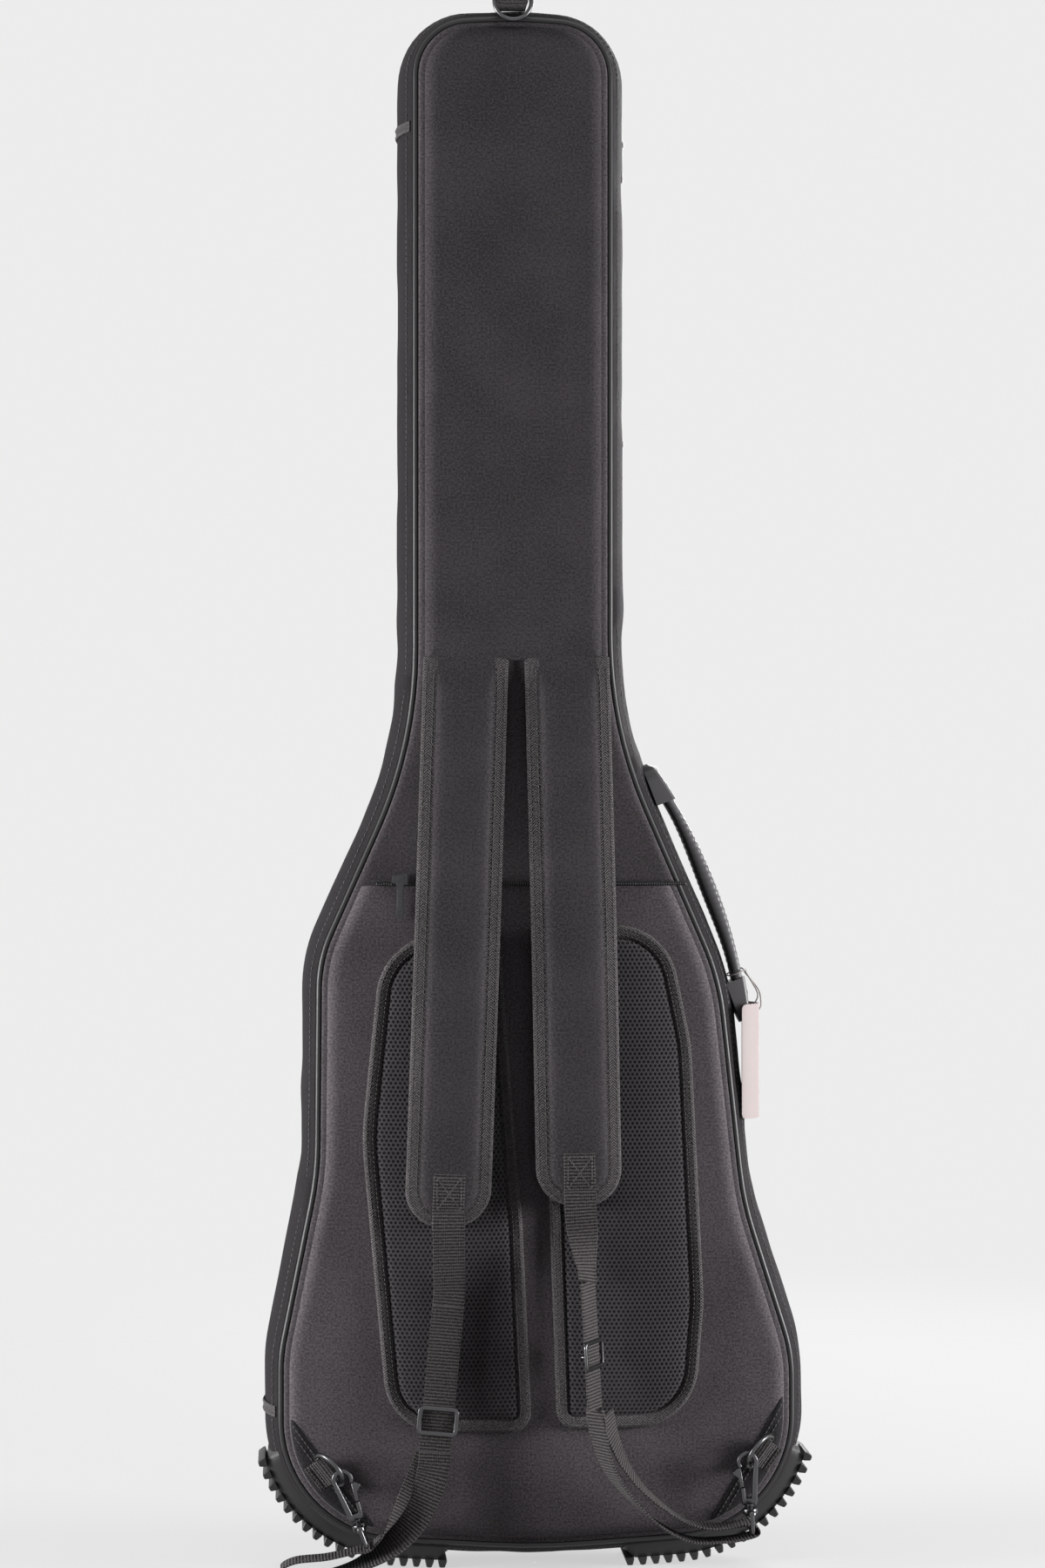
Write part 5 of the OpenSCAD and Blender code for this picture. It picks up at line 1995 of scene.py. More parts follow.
@dataclass(frozen=True)
class RingTab:
    """Folded webbing tab that holds a ring's bar on the corner patch."""

    width: float = 22.0
    thick: float = 1.3
    fold: float = 3.1
    under: float = 1.6
    tail: Corners = ((0, -13, 0.5), (0, -8, 0.5), (0, -3, 0.5))
    back: Corners = ((0, -6, 2.9), (0, -13, 2.2))
    rows: Values = (-6.5, -10.5)
    row_half: float = 9.5
    row_up: float = 3.5

    def sew(self, build: Build, rim: Rim, side: str, mark: int) -> None:
        """Add the tab of one side.

        Args:
            build: Mesh that it is added to.
            rim: Outline and depths of the bag.
            side: Side that it is on.
            mark: Slot of the finish.
        """
        y = LowerRings.ring_y(rim)
        (x, z), turn = RING_PLACES[side]
        f = Frame.on_back(x, y, z, turn)
        seat = y - rim.face + self.under
        loop = np.insert(circle(-90, 110, 15, self.fold), 0, 0.0, axis=1)
        tail, back = (np.array(q) + (0, 0, seat) for q in (self.tail, self.back))
        path = through(np.vstack([tail, loop[1::3], back]), 4)
        build.strip(f.at(path), f.axes[0], self.width, self.thick, mark=mark)
        for row in self.rows:
            ends = [(w, row, seat + self.row_up) for w in (-self.row_half, self.row_half)]
            build.stitches(f.at(np.array(ends)), BACKWARD, 3.0, 1)


@dataclass
class LowerRings:
    """D-ring on its tab, with the snap hook, gate and swivel eye that hang on it."""

    side: str
    hook_at: Pair
    lean: float
    mirror: int
    wire: float = 1.8
    stand: float = 62.0
    leg: float = 8.0
    hook_y: float = -60.0
    bar: float = 5.0
    spine: Pairs = ((-4.2, -29), (-4.6, -22), (-5.7, -10), (-6.6, -2))
    nose: float = 6.8
    post: Pairs = ((4.2, -29), (4.4, -24), (4.9, -18.6))
    stem: Pairs = (
        (3.0, 0), (4.0, 0.6), (4.0, 1.6), (2.4, 2.1), (2.4, 8), (3.4, 9.5), (3.4, 10.6),
    )
    gate_shape: Pairs = (
        (3.8, -17.6), (6.8, -17.6), (7.7, -10.4), (10.6, -8.4), (11.9, -7.2), (11.7, -5.4),
        (10.6, -4.7), (8.6, -2.8), (5.4, -2.8),
    )
    pin: Pairs = ((0.8, 0), (1.5, 0.2), (1.5, 4.4), (0.8, 4.6))
    barrel: Pairs = (
        (3.0, 0), (5.4, 0.2), (6.0, 0.8), (6.0, 4.2), (5.4, 4.8), (3.0, 5.0),
    )
    eye_half: float = 14.2
    eye_top: float = -38.0
    eye_low: float = -52.0
    eye_round: float = 3.0
    eye_wire: float = 1.7
    bar_thick: Values = (4.6, 3.8, 3.7, 3.0)
    post_thick: float = 3.6
    foot: Corner = (12.2, 5.2, 6.2)
    foot_z: float = -29.2
    stem_z: float = -42.0
    gate_thick: float = 4.0
    pin_at: Corner = (5.3, 2.3, -15.4)
    barrel_z: float = -39.5
    yoke: Corner = (5.6, 31.4, 4.6)
    yoke_z: float = -37.2

    @staticmethod
    def ring_y(rim: Rim) -> float:
        """Depth of a ring's bar."""
        return rim.face - 5.5

    @staticmethod
    def ring_path(leg: float, r: float = 14.7) -> Points:
        """Centre line of a D-ring: bar on X, bow towards Y.

        Args:
            leg: Length of the straight sides.
            r: Radius of the bow.

        Returns:
            Points of the line.
        """
        toe = 2.2
        foot = circle(-90, 0, 6, toe) + (r - toe, toe)
        bow = circle(0, 180, 29, r) + (0, leg)
        bar = np.stack([np.linspace(-10, 10, 7), np.zeros(7)], 1)
        line = np.vstack([bar, foot, bow, (foot * (-1, 1))[::-1]])
        return np.hstack([line, np.zeros((len(line), 1))])

    def frame(self) -> Frame:
        """Frame of the hook: X across, Y through the plate, Z up along it.

        Returns:
            The frame.
        """
        c, s = math.cos(math.radians(self.lean)), math.sin(math.radians(self.lean))
        axes = np.array([[c, 0, -s], [0, 1, 0], [s, 0, c]])
        axes[0] *= self.mirror
        return Frame(np.array([self.hook_at[0], self.hook_y, self.hook_at[1]]), axes)

    def hook(self, build: Build, f: Frame) -> None:
        """Hook body: a bent bar, its foot, a post for the gate and the swivel's stem.

        Args:
            build: Mesh that it is added to.
            f: Its place and axes.
        """
        line = np.vstack([self.spine, circle(180, -34, 30, self.nose) + (0, 2)])
        size = np.interp(np.arange(len(line)), [0, 3, 20, len(line) - 1], self.bar_thick)
        build.strip(f.at(at_depth(line, 0.0)), f.axes[1], self.bar, size, BAR_SECTION)
        build.strip(
            f.at(at_depth(np.array(self.post), 0.0)), f.axes[1], self.bar, self.post_thick,
            BAR_SECTION,
        )
        build.block(f.moved(0, 0, self.foot_z), self.foot, 1.2)
        build.lathe(f.moved(0, 0, self.stem_z), self.stem)

    def gate(self, build: Build, f: Frame) -> None:
        """Sprung gate with its thumb lug.

        Args:
            build: Mesh that it is added to.
            f: Its place and axes.
        """
        across, through_plate, up = f.axes
        plate = Frame(f.origin, np.array([across, up, -through_plate * self.mirror]))
        build.slab(plate, self.gate_shape, self.gate_thick, 0.6)
        pin = Frame(f.at(self.pin_at), np.array([across, up, -through_plate]))
        build.lathe(pin, self.pin, 14)

    def eye(self, build: Build, f: Frame) -> None:
        """Swivel barrel with the webbing eye below it.

        Args:
            build: Mesh that it is added to.
            f: Its place and axes.
        """
        build.lathe(f.moved(0, 0, self.barrel_z), self.barrel)
        build.block(f.moved(0, 0, self.yoke_z), self.yoke, 1.3)
        w, top, low, r = self.eye_half, self.eye_top, self.eye_low, self.eye_round
        q = np.radians(np.linspace(0, 90, 6))
        foot = np.stack([w - r + r * np.sin(q), low + r - r * np.cos(q)], 1)
        line = np.vstack([[(-w, top)], (foot * (-1, 1))[::-1], foot, [(w, top)]])
        build.tube(f.at(np.insert(line, 0, 0.0, axis=1)), self.eye_wire, 12)

    def build(self, shop: Shop) -> None:
        """Make the pieces.

        Args:
            shop: Maker of the finished pieces.
        """
        rim = shop.rim
        ring = Build()
        (x, z), turn = RING_PLACES[self.side]
        at = Frame.on_back(x, self.ring_y(rim), z, turn).tipped(self.stand)
        ring.tube(at.at(self.ring_path(self.leg)), self.wire, 14, closed=True)
        key = self.side[0]
        shop.piece(
            ring, f"d_ring_{self.side}", [Look.NICKEL], [f"ring_{self.side}"],
            f"dring_{key}",
        )
        f = self.frame()
        for name, part, body in (
            ("hook", self.hook, "snap"), ("gate", self.gate, "gate"), ("eye", self.eye, "swivel")
        ):
            build = Build()
            part(build, f)
            shop.piece(
                build, f"snap_{name}_{self.side}", [Look.NICKEL],
                [f"{name}_{self.side}"], f"{body}_{key}", 45,
            )


HOOKS = (
    LowerRings("left", hook_at=(-155.2, 77.6), lean=-20.5, mirror=1),
    LowerRings("right", hook_at=(164.6, 88.2), lean=-3.3, mirror=-1),
)


@dataclass
class Handle:
    """Side handle: a bowed grip between two riveted end caps."""

    start: Pair = (92.0, 643.7)
    end: Pair = (172.4, 436.7)
    y: float = 4.0
    bow: float = 15.0
    thick: float = 8.5
    swell: float = 4.0
    width: float = 26.0
    cap: float = 34.0
    lip: float = 1.5
    deep: float = 7.0
    rivets: Values = (9.0, 23.0)
    rivet: Pairs = (
        (4.5, -0.8), (4.5, 0.1), (4.0, 0.7), (3.0, 1.05), (1.6, 1.2), (0.3, 1.25),
    )
    overlap: float = 5.0
    rib: float = 0.22
    rib_pitch: float = 5.2
    edge: float = 3.0

    def frame(self) -> Frame:
        """Frame along the chord: X down it, Y outward, Z towards the viewer."""
        turn = math.degrees(math.atan2(self.end[1] - self.start[1], self.end[0] - self.start[0]))
        return Frame.on_back(self.start[0], self.y, self.start[1], turn)

    def length(self) -> float:
        """Length of the chord."""
        return math.dist(self.start, self.end)

    def rise(self, h: Points, lift: float = 0.0) -> Points:
        """Height of the outer arc over the chord.

        Args:
            h: Places along the chord.
            lift: Height over the arc.

        Returns:
            Height at each place.
        """
        half = self.length() / 2
        r = half**2 / (2 * self.bow) + self.bow / 2
        return self.bow - r + np.sqrt((r + lift) ** 2 - (half - np.asarray(h)) ** 2)

    def cap_rows(self, side: int) -> Points:
        """Rows of an end cap from its round end inward.

        Args:
            side: 1 for the upper cap, -1 for the lower.

        Returns:
            Rows of points in the frame of the chord.
        """
        r = self.width / 2 + self.lip
        h = np.concatenate(
            [r * (1 - np.cos(np.linspace(0.04, math.pi / 2, 14))), np.linspace(r + 3, self.cap, 6)]
        )
        half = np.where(h < r, np.sqrt(np.maximum(r**2 - (r - h) ** 2, 0)), r)
        top = self.rise(h, self.lip)
        rows = []
        for hk, wk, tk in zip(h, half, top):
            edge = min(self.edge, 0.45 * wk)
            turn = circle(90, 0, 6, edge) + (wk - edge, tk - edge)
            turn[:, 1] -= (1 - ease(hk / 5.0)) * 2.6
            ring = np.vstack([(turn * (-1, 1))[::-1], turn, [(wk, -self.deep), (-wk, -self.deep)]])
            place = self.length() - hk if side < 0 else hk
            rows.append(np.stack([np.full(len(ring), place), ring[:, 1], ring[:, 0]], 1))
        return np.array(rows)

    def build(self, shop: Shop) -> None:
        """Make the pieces.

        Args:
            shop: Maker of the finished pieces.
        """
        f = self.frame()
        grip = Build()
        long = self.length()
        h = np.linspace(self.cap - self.overlap, long - self.cap + self.overlap, 150)
        rib = self.rib * np.sin(2 * math.pi * h / self.rib_pitch)
        rib = rib * ease((h - self.cap - 6) / 8) * ease((long - self.cap - 6 - h) / 8)
        share = np.clip((h - self.cap) / (long - 2 * self.cap), 0, 1)
        full = self.swell * np.sin(math.pi * share) ** 2
        path = f.at(np.stack([h, self.rise(h) - (self.thick + full) / 2, 0 * h], 1))
        grip.strip(path, f.axes[2], self.width + rib, self.thick + full + 2 * rib, BAR_SECTION)
        shop.piece(grip, "handle_grip_bar", [Look.GRIP], ["handle_grip"], "bag")
        for side, name in ((1, "upper"), (-1, "lower")):
            cap = Build()
            rows = f.at(self.cap_rows(side))
            cap.grid(rows, close_cols=True)
            cap.cap(rows[0])
            cap.cap(rows[-1], flip=True)
            shop.piece(
                cap, f"handle_end_{name}", [Look.GRIP], [f"handle_cap_{name}"], "bag",
                50,
            )
        rivets = Build()
        for side in (1, -1):
            for at in self.rivets:
                place = at if side > 0 else self.length() - at
                seat = f.moved(place, float(self.rise(place, self.lip)), 0)
                out = Frame(seat.origin, np.array([seat.axes[0], -seat.axes[2], seat.axes[1]]))
                rivets.lathe(out, self.rivet)
        shop.piece(rivets, "handle_rivet_set", [Look.NICKEL], ["handle_rivets"], "bag")


@dataclass
class TopLoop:
    """Webbing loop on the top end with its hanging ring."""

    x: float = -20.0
    bar_y: float = -37.0
    bar_z: float = 1252.2
    width: float = 24.0
    foot_y: float = -5.0
    lean: float = 7.0
    thick: float = 1.7
    turn: float = 3.4
    ring_leg: float = 3.0
    wire: float = 1.8
    sewn: Pairs = ((3, 2.4), (-8, 3.2))
    under: Pairs = ((-10, 1.0), (3, 0.7))
    free: Corner = (-22, 2.2, -3.0)
    rows: Values = (-1, -6)
    row_half: float = 10.0
    row_up: float = 0.9

    def build(self, shop: Shop) -> None:
        """Make the pieces.

        Args:
            shop: Maker of the finished pieces.
        """
        rim, y, bar = shop.rim, self.foot_y, self.bar_z
        top = max(z for _, z, _ in rim.table) + rim.lift + float(rim.swell(y))
        round_bar = circle(80, 275, 17, self.turn) + (self.bar_y, bar)
        upper, lower = (np.array(q) + (y, top) for q in (self.sewn, self.under))
        free, over, below = self.free
        out, home = [(y + free, bar + over)], [(y + free, bar + below)]
        line = through(np.vstack([upper, out, round_bar[::4], home, lower]), 5)
        loop = Build()
        loop.strip(np.insert(line, 0, self.x, axis=1), (1, 0, 0), self.width, self.thick)
        for back in self.rows:
            row = y + back
            z = float(np.interp(row, upper[::-1, 0], upper[::-1, 1])) + self.row_up
            left, right = self.x - self.row_half, self.x + self.row_half
            loop.stitches(np.array([(left, row, z), (right, row, z)]), UP, 3.0, 1)
        shop.piece(
            loop, "hang_loop_band", [Look.WEBBING, Look.THREAD], ["hang_loop"], "bag"
        )
        ring = Build()
        f = Frame(np.array([self.x, self.bar_y, self.bar_z]), np.eye(3)).tipped(-90 - self.lean)
        ring.tube(f.at(LowerRings.ring_path(self.ring_leg)), self.wire, 14, closed=True)
        shop.piece(ring, "hang_ring", [Look.NICKEL], ["top_ring"], "dring_top")


@dataclass
class Bumper:
    """Rubber corner guard with tread lugs."""

    y0: float = -19.0
    y1: float = 40.0
    from_x: float = 70.0
    to_z: float = 92.0
    out: float = 16.5
    root: float = 7.0
    tip: float = 3.8
    high: float = 5.0
    sunk: float = 1.4
    inset: float = 2.0
    pitch: float = 10.4
    bevel: float = 0.7
    slats: int = 13
    crown: float = 1.6
    end_share: float = 0.25

    def run(self, rim: Rim) -> Run:
        """Stretch of the outline that the guard covers on the right.

        Args:
            rim: Outline and depths of the bag.

        Returns:
            The run.
        """
        run = Run.joined(rim.arcs()[1:4]).even(2.0)
        p = run.grow(self.out)
        keep = (p[:, 0] > self.from_x) & (p[:, 1] < self.to_z)
        return Run(run.points[keep], run.normals[keep])

    def lug(self, build: Build, frame: Frame) -> None:
        """Tapered lug across the guard, cut off at the floor.

        Args:
            build: Mesh that it is added to.
            frame: Its place and axes.
        """
        half = (self.y1 - self.y0) / 2 - self.inset
        steps = (
            (-self.sunk, self.root / 2, half), (0.0, self.root / 2, half),
            (self.high - self.bevel, self.tip / 2 + 0.3, half),
            (self.high, self.tip / 2 - self.bevel / 2, half - self.bevel),
        )
        rows = []
        for z, x, y in steps:
            c = min(self.bevel, x / 2)
            ring = [
                (-x, -y + c), (-x + c, -y), (x - c, -y), (x, -y + c), (x, y - c), (x - c, y),
                (-x + c, y), (-x, y - c),
            ]
            rows.append([(a, b, z) for a, b in ring])
        p = frame.at(np.array(rows))
        p[..., 2] = np.maximum(p[..., 2], 0.0)
        build.grid(p, close_cols=True)
        build.cap(p[0], flip=True)
        build.cap(p[-1])

    def build(self, shop: Shop) -> None:
        """Make the pieces.

        Args:
            shop: Maker of the finished pieces.
        """
        rim = shop.rim
        run = self.run(rim)
        y = np.linspace(self.y0, self.y1, self.slats)
        crown = self.out - self.crown * np.abs(2 * np.linspace(0, 1, self.slats) - 1) ** 3
        outer = np.maximum(rim.swell(y) + self.crown, crown)
        outer[0], outer[-1] = rim.swell(y[[0, -1]]) + 0.3
        reach = np.concatenate([outer, rim.swell(y[::-1]) - 0.6])
        depth = np.concatenate([y, y[::-1]])
        for sign, name in ((1, "right"), (-1, "left")):
            build = Build()
            n = len(run.points)
            taper = np.minimum(ease(np.arange(n) / 4), ease((n - 1 - np.arange(n)) / 4))[:, None]
            base = rim.swell(depth)[None] - 0.3
            grown = base + (reach[None] - base) * (self.end_share + (1 - self.end_share) * taper)
            p = run.points[:, None] + grown[..., None] * run.normals[:, None]
            grid = at_depth(p * (sign, 1), depth)
            build.grid(grid, close_cols=True)
            build.cap(grid[0])
            build.cap(grid[-1], flip=True)
            line = run.grow(self.out)
            s = np.concatenate([[0], np.cumsum(np.linalg.norm(np.diff(line, axis=0), axis=1))])
            for at in np.arange(self.root / 2, s[-1] - self.root / 2, self.pitch):
                x, z = (np.interp(at, s, line[:, k]) for k in (0, 1))
                nx, nz = unit(np.array([np.interp(at, s, run.normals[:, k]) for k in (0, 1)]))
                axes = np.array([[-nz * sign, 0, nx], [0, 1, 0], [nx * sign, 0, nz]])
                self.lug(build, Frame(np.array([sign * x, (self.y0 + self.y1) / 2, z]), axes))
            shop.piece(
                build, f"corner_guard_{name}", [Look.RUBBER], [f"bumper_{name}"],
                "bag", 35,
            )


@dataclass
class Zip:
    """Main zip: tapes and coil teeth of both halves, and the cloth fold that hinges the lid."""

    tape: float = 8.0
    pitch: float = 2.3
    gap: float = 0.4
    tooth_off: float = 1.9
    tooth: Pair = (3.0, 0.9)
    lift: Values = (0.1, 0.7, 0.8, 0.8, 0.6)
    fold_out: float = 0.9

    def half(self, shop: Shop, y0: float, y1: float, teeth: float) -> Build:
        """Tape and teeth of one half.

        Args:
            shop: Maker of the finished pieces.
            y0: Rear depth.
            y1: Front depth.
            teeth: Depth of the teeth.

        Returns:
            The mesh.
        """
        rim = shop.rim
        run = rim.zip_run(6.0)
        y = np.linspace(y0, y1, 5)
        lift = self.lift if teeth > (y0 + y1) / 2 else self.lift[::-1]
        reach = rim.swell(y) + np.array(lift)
        p = run.points[:, None] + reach[None, :, None] * run.normals[:, None]
        build = Build()
        build.grid(at_depth(p, y))
        fine = rim.zip_run(self.pitch)
        line = fine.grow(float(rim.swell(teeth)) + 0.8)
        build.beads(at_depth(line, teeth), FORWARD, at_depth(fine.normals, 0.0), *self.tooth, 1)
        return build

    def build(self, shop: Shop) -> None:
        """Make the pieces.

        Args:
            shop: Maker of the finished pieces.
        """
        rim = shop.rim
        middle = rim.split
        rear = self.half(shop, middle - self.tape, middle - self.gap, middle - self.tooth_off)
        shop.piece(
            rear, "main_zip_tape_rear", [Look.TAPE, Look.COIL], ["main_zip_rear"], "bag"
        )
        front = self.half(shop, middle + self.gap, middle + self.tape, middle + self.tooth_off)
        shop.piece(
            front, "main_zip_tape_front", [Look.TAPE, Look.COIL], ["main_zip_front"],
            "lid",
        )
        run = rim.fold_run(6.0)
        low, high = middle - self.tape, middle + self.tape
        y = np.linspace(low, high, 9)
        bulge = np.sqrt(np.maximum(0.02, 1 - ((y - middle) / self.tape) ** 2))
        reach = rim.swell(y) + self.fold_out * bulge
        p = run.points[:, None] + reach[None, :, None] * run.normals[:, None]
        fold = Build()
        fold.grid(at_depth(p, y))
        # The lid's fold wears the darker copy of the twill: painted shade.
        strip = shop.piece(fold, "lid_fold_cloth", [Look.SHADED_SIDE], ["hinge_fold"])
        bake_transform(strip)


@dataclass
class Lid:
    """Front half: panel, piping, side band, lining and the front pocket with its zip."""

    pocket_top: float = 560.0
    lap: float = 16.0
    body: Pillow = Pillow(7, 2.2, 3.0, 45, 0.3, 90, 15)
    sunk: float = 2.0
    row_in: float = 15.0
    quilt_y: float = 54.4
    pocket: Pillow = Pillow(12, 11.6, 2.4, 70, 0.4, 85, 21)
    pocket_in: float = 14.0
    pocket_rows: Values = (5.0, 9.0)
    lip: Pairs = ((0, 0), (0.8, 0.5), (3.4, 0.4), (4.0, -1), (4.2, -40))
    zip_from: float = -122.0
    zip_to: float = 84.0
    zip_y: float = 78.5
    tooth: float = 1.9

    def build(self, shop: Shop, shell: Shell) -> None:
        """Make the pieces.

        Args:
            shop: Maker of the finished pieces.
            shell: Rear half, whose sizes it shares.
        """
        rim = shop.rim
        loop = rim.loop(5.0)
        face = Build()
        edge, y = loop.grow(-shell.back_in), rim.lid_skin - self.sunk
        Panel(edge, self.body, OnFront(y), 12).lay(face)
        line = soften(loop.grow(-self.row_in), 2.0)
        h = self.body(edge_distance(edge, line), line[:, 0], line[:, 1])
        face.stitches(closed_row(at_depth(line, y + h)), FORWARD, shell.row_pitch, 1)
        shop.piece(
            face, "lid_face", [Look.CLOTH, Look.THREAD], ["lid_panel", "lid_foam"],
            "lid",
        )
        shop.piece(
            shell.piping_loop(shop, rim.front), "front_piping", [Look.PIPING],
            ["lid_piping"], "lid",
        )
        side = shell.side(shop, rim.split + 0.4, rim.front - 1.0, 31)
        shell.seam_rows(shop, side, rim.front - 9, 2)
        # The side band wears the darker copy of the twill: painted shade.
        shop.piece(
            side, "front_side_band", [Look.SHADED_SIDE, Look.LINING, Look.THREAD],
            ["gusset_front"], "lid",
        )
        lining = Build()
        place = OnBack(self.quilt_y)
        Panel(loop.grow(-shell.quilt_in), shell.quilt, place, shell.quilt_step).lay(lining)
        shop.piece(lining, "lid_lining_cloth", [Look.LINING], ["lid_lining"], "lid")
        self.front_pocket(shop, loop)
        x, top = np.arange(self.zip_from, self.zip_to, self.tooth), self.pocket_top
        coil = zip_coil(x, ((self.zip_y, top + 1.6), (rim.lid_skin + 1.4, top + 2.0)), FORWARD)
        shop.piece(
            coil, "front_pocket_zip_coil", [Look.COIL, Look.TAPE], ["front_pocket_zip"],
            "lid",
        )

    def front_pocket(self, shop: Shop, loop: Run) -> None:
        """Padded pocket on the lid, with its stitch rows and the turned lip of its mouth.

        Args:
            shop: Maker of the finished pieces.
            loop: Outline of the bag.
        """
        skin, top = shop.rim.lid_skin, self.pocket_top
        shape = soften(clip(loop.grow(-self.pocket_in), (0, 1), top + self.lap), 5.0)
        outline = evenly(clip(shape, (0, 1), top), 3.5, closed=True)
        pocket = Build()
        Panel(outline, self.pocket, OnFront(skin), 11, measure=shape).lay(pocket)
        edge = outline[outline[:, 1] > top - 0.5]
        x = np.linspace(edge[:, 0].min() + 2.0, edge[:, 0].max() - 2.0, 56)

        def depth(z: float) -> Points:
            """Depth of the pocket's face along a level row."""
            at = np.stack([x, np.full(len(x), z)], 1)
            return skin + self.pocket(edge_distance(shape, at), at[:, 0], at[:, 1])

        for drop in self.pocket_rows:
            row = np.stack([x, depth(top - drop) + 0.1, np.full(len(x), top - drop)], 1)
            pocket.stitches(row, FORWARD, 4.2, 1)
        y, z = depth(top), np.full(len(x), top)
        pocket.grid(np.array([np.stack([x, y - dy, z + dz], 1) for dy, dz in self.lip]))
        shop.piece(
            pocket, "front_pocket_face", [Look.CLOTH, Look.THREAD], ["front_pocket"],
            "lid",
        )


@dataclass
class Padding:
    """Neck cradle and end pad inside the bag."""

    seat_y: float = -16.0
    cradle_at: Pair = (-20.0, 995.0)
    cradle_half: float = 56.0
    cradle_high: float = 30.0
    cradle_long: float = 70.0
    groove_round: float = 30.0
    groove_up: float = 40.0
    end_half: Pair = (105.0, 22.0)
    end_round: float = 8.0
    end_z: float = 44.2
    end_high: float = 30.0
    give: float = 0.9

    def build(self, shop: Shop) -> None:
        """Make the pieces.

        Args:
            shop: Maker of the finished pieces.
        """
        groove = circle(205, 335, 19, self.groove_round) + (0, self.groove_up)
        w, h = self.cradle_half, self.cradle_high
        groove = groove[groove[:, 1] < h]
        outline = np.vstack([[(-w, h), (-w, 0), (w, 0), (w, h)], groove[::-1]])
        cradle = Build()
        x, z = self.cradle_at
        seat = Frame(np.array([x, self.seat_y, z]), np.eye(3))
        cradle.slab(seat, soften(outline, 2.5, 2.0), self.cradle_long, 4)
        shop.piece(cradle, "neck_rest", [Look.PLUSH], ["neck_cradle"], "bag", 50)
        end = Build()
        (w, d), r = self.end_half, self.end_round
        table = [(-w, -d, r), (w, -d, r), (w, d, r), (-w, d, r)]
        loop = Run.joined(Run.rounded(table, math.radians(15))).points
        seat = Frame(np.array([0, self.seat_y + d, self.end_z]), np.eye(3))
        end.slab(seat, loop, self.end_high, 5)
        shop.piece(end, "end_rest", [Look.PLUSH], ["end_pad"], "bag", 50)


@dataclass
class Slider:
    """Zip slider with its pull."""

    name: str
    frame: Frame
    slider_node: str
    pull_node: str
    slider_body: str
    pull_body: str
    pivot: Corner
    hang: Points
    straddles: bool = True
    plate: float = 2.0
    length: float = 28.0
    thick: float = 1.2
    half: float = 3.5
    hole: float = 1.95
    edge: float = 0.4
    waist: Pairs = ((-2.7, 0.3), (-2.9, 0.7))
    eye_wire: float = 0.36
    ribs: int = 7
    rib: Corner = (4.4, 0.9, 0.5)
    rib_from: float = 0.36
    rib_step: float = 0.07
    under: float = 0.94
    under_z: float = -4.2
    bridge: Corner = (2.0, 4.0, 3.4)
    bridge_at: Corner = (0.0, 2.5, -2.2)
    post: float = 1.1
    shield: Pairs = ((4.6, 6.5), (4.8, 2.5), (3.4, -2.5), (3.0, -6.5))
    stud: Pairs = (
        (1.6, 0), (2.5, 0.15), (2.5, 0.4), (1.8, 0.65), (0.4, 0.7)
    )

    def pull(self, build: Build) -> None:
        """Flat pull with an eye at each end and a ribbed middle.

        Args:
            build: Mesh that it is added to.
        """
        down, across, out = self.hang
        f = Frame(self.frame.at(self.pivot), np.array([across, -down, out]))
        top = circle(0, 180, 13, self.half)
        low = (0, -self.length) - top
        waist = np.array([(x, -self.length * share) for x, share in self.waist])
        outline = np.vstack([top, waist, low, (waist * (-1, 1))[::-1]])
        build.slab(f, outline, self.thick, self.edge)
        ring = np.radians(np.linspace(0, 360, 20, endpoint=False))
        for at in (0.0, -self.length):
            x, y = self.hole * np.cos(ring), at + self.hole * np.sin(ring)
            eye = np.stack([x, y, np.full(20, self.thick / 2)], 1)
            build.tube(f.at(eye), self.eye_wire, 8, closed=True)
        for k in range(self.ribs):
            rib = f.moved(0, -self.length * (self.rib_from + self.rib_step * k), self.thick / 2)
            build.block(rib, self.rib, 0.2)

    def body(self, build: Build) -> None:
        """Slider body: a shield plate with its bridge and the pull's stud.

        Args:
            build: Mesh that it is added to.
        """
        f = self.frame
        right = np.array(self.shield)
        outline = np.vstack([right * (-1, 1), right[::-1]])
        build.slab(f, outline, self.plate, 0.5)
        if self.straddles:
            build.slab(f.moved(0, 0, self.under_z), outline * self.under, self.thick, self.edge)
            build.block(f.moved(*self.bridge_at), self.bridge, self.edge)
        at = self.pivot
        base = f.moved(at[0], at[1], self.plate / 2 - 0.4)
        post = self.post
        build.lathe(base, [(post, 0), (post, at[2] - self.plate / 2 + 1.4)], 12)
        build.lathe(f.moved(at[0], at[1], at[2] + 1.0), self.stud, 16)

    def build(self, shop: Shop) -> None:
        """Make the pieces.

        Args:
            shop: Maker of the finished pieces.
        """
        body = Build()
        self.body(body)
        shop.piece(
            body, f"{self.name}_body", [Look.GUNMETAL], [self.slider_node],
            self.slider_body, 35,
        )
        pull = Build()
        self.pull(pull)
        shop.piece(
            pull, f"{self.name}_tab", [Look.GUNMETAL], [self.pull_node],
            self.pull_body, 35,
        )


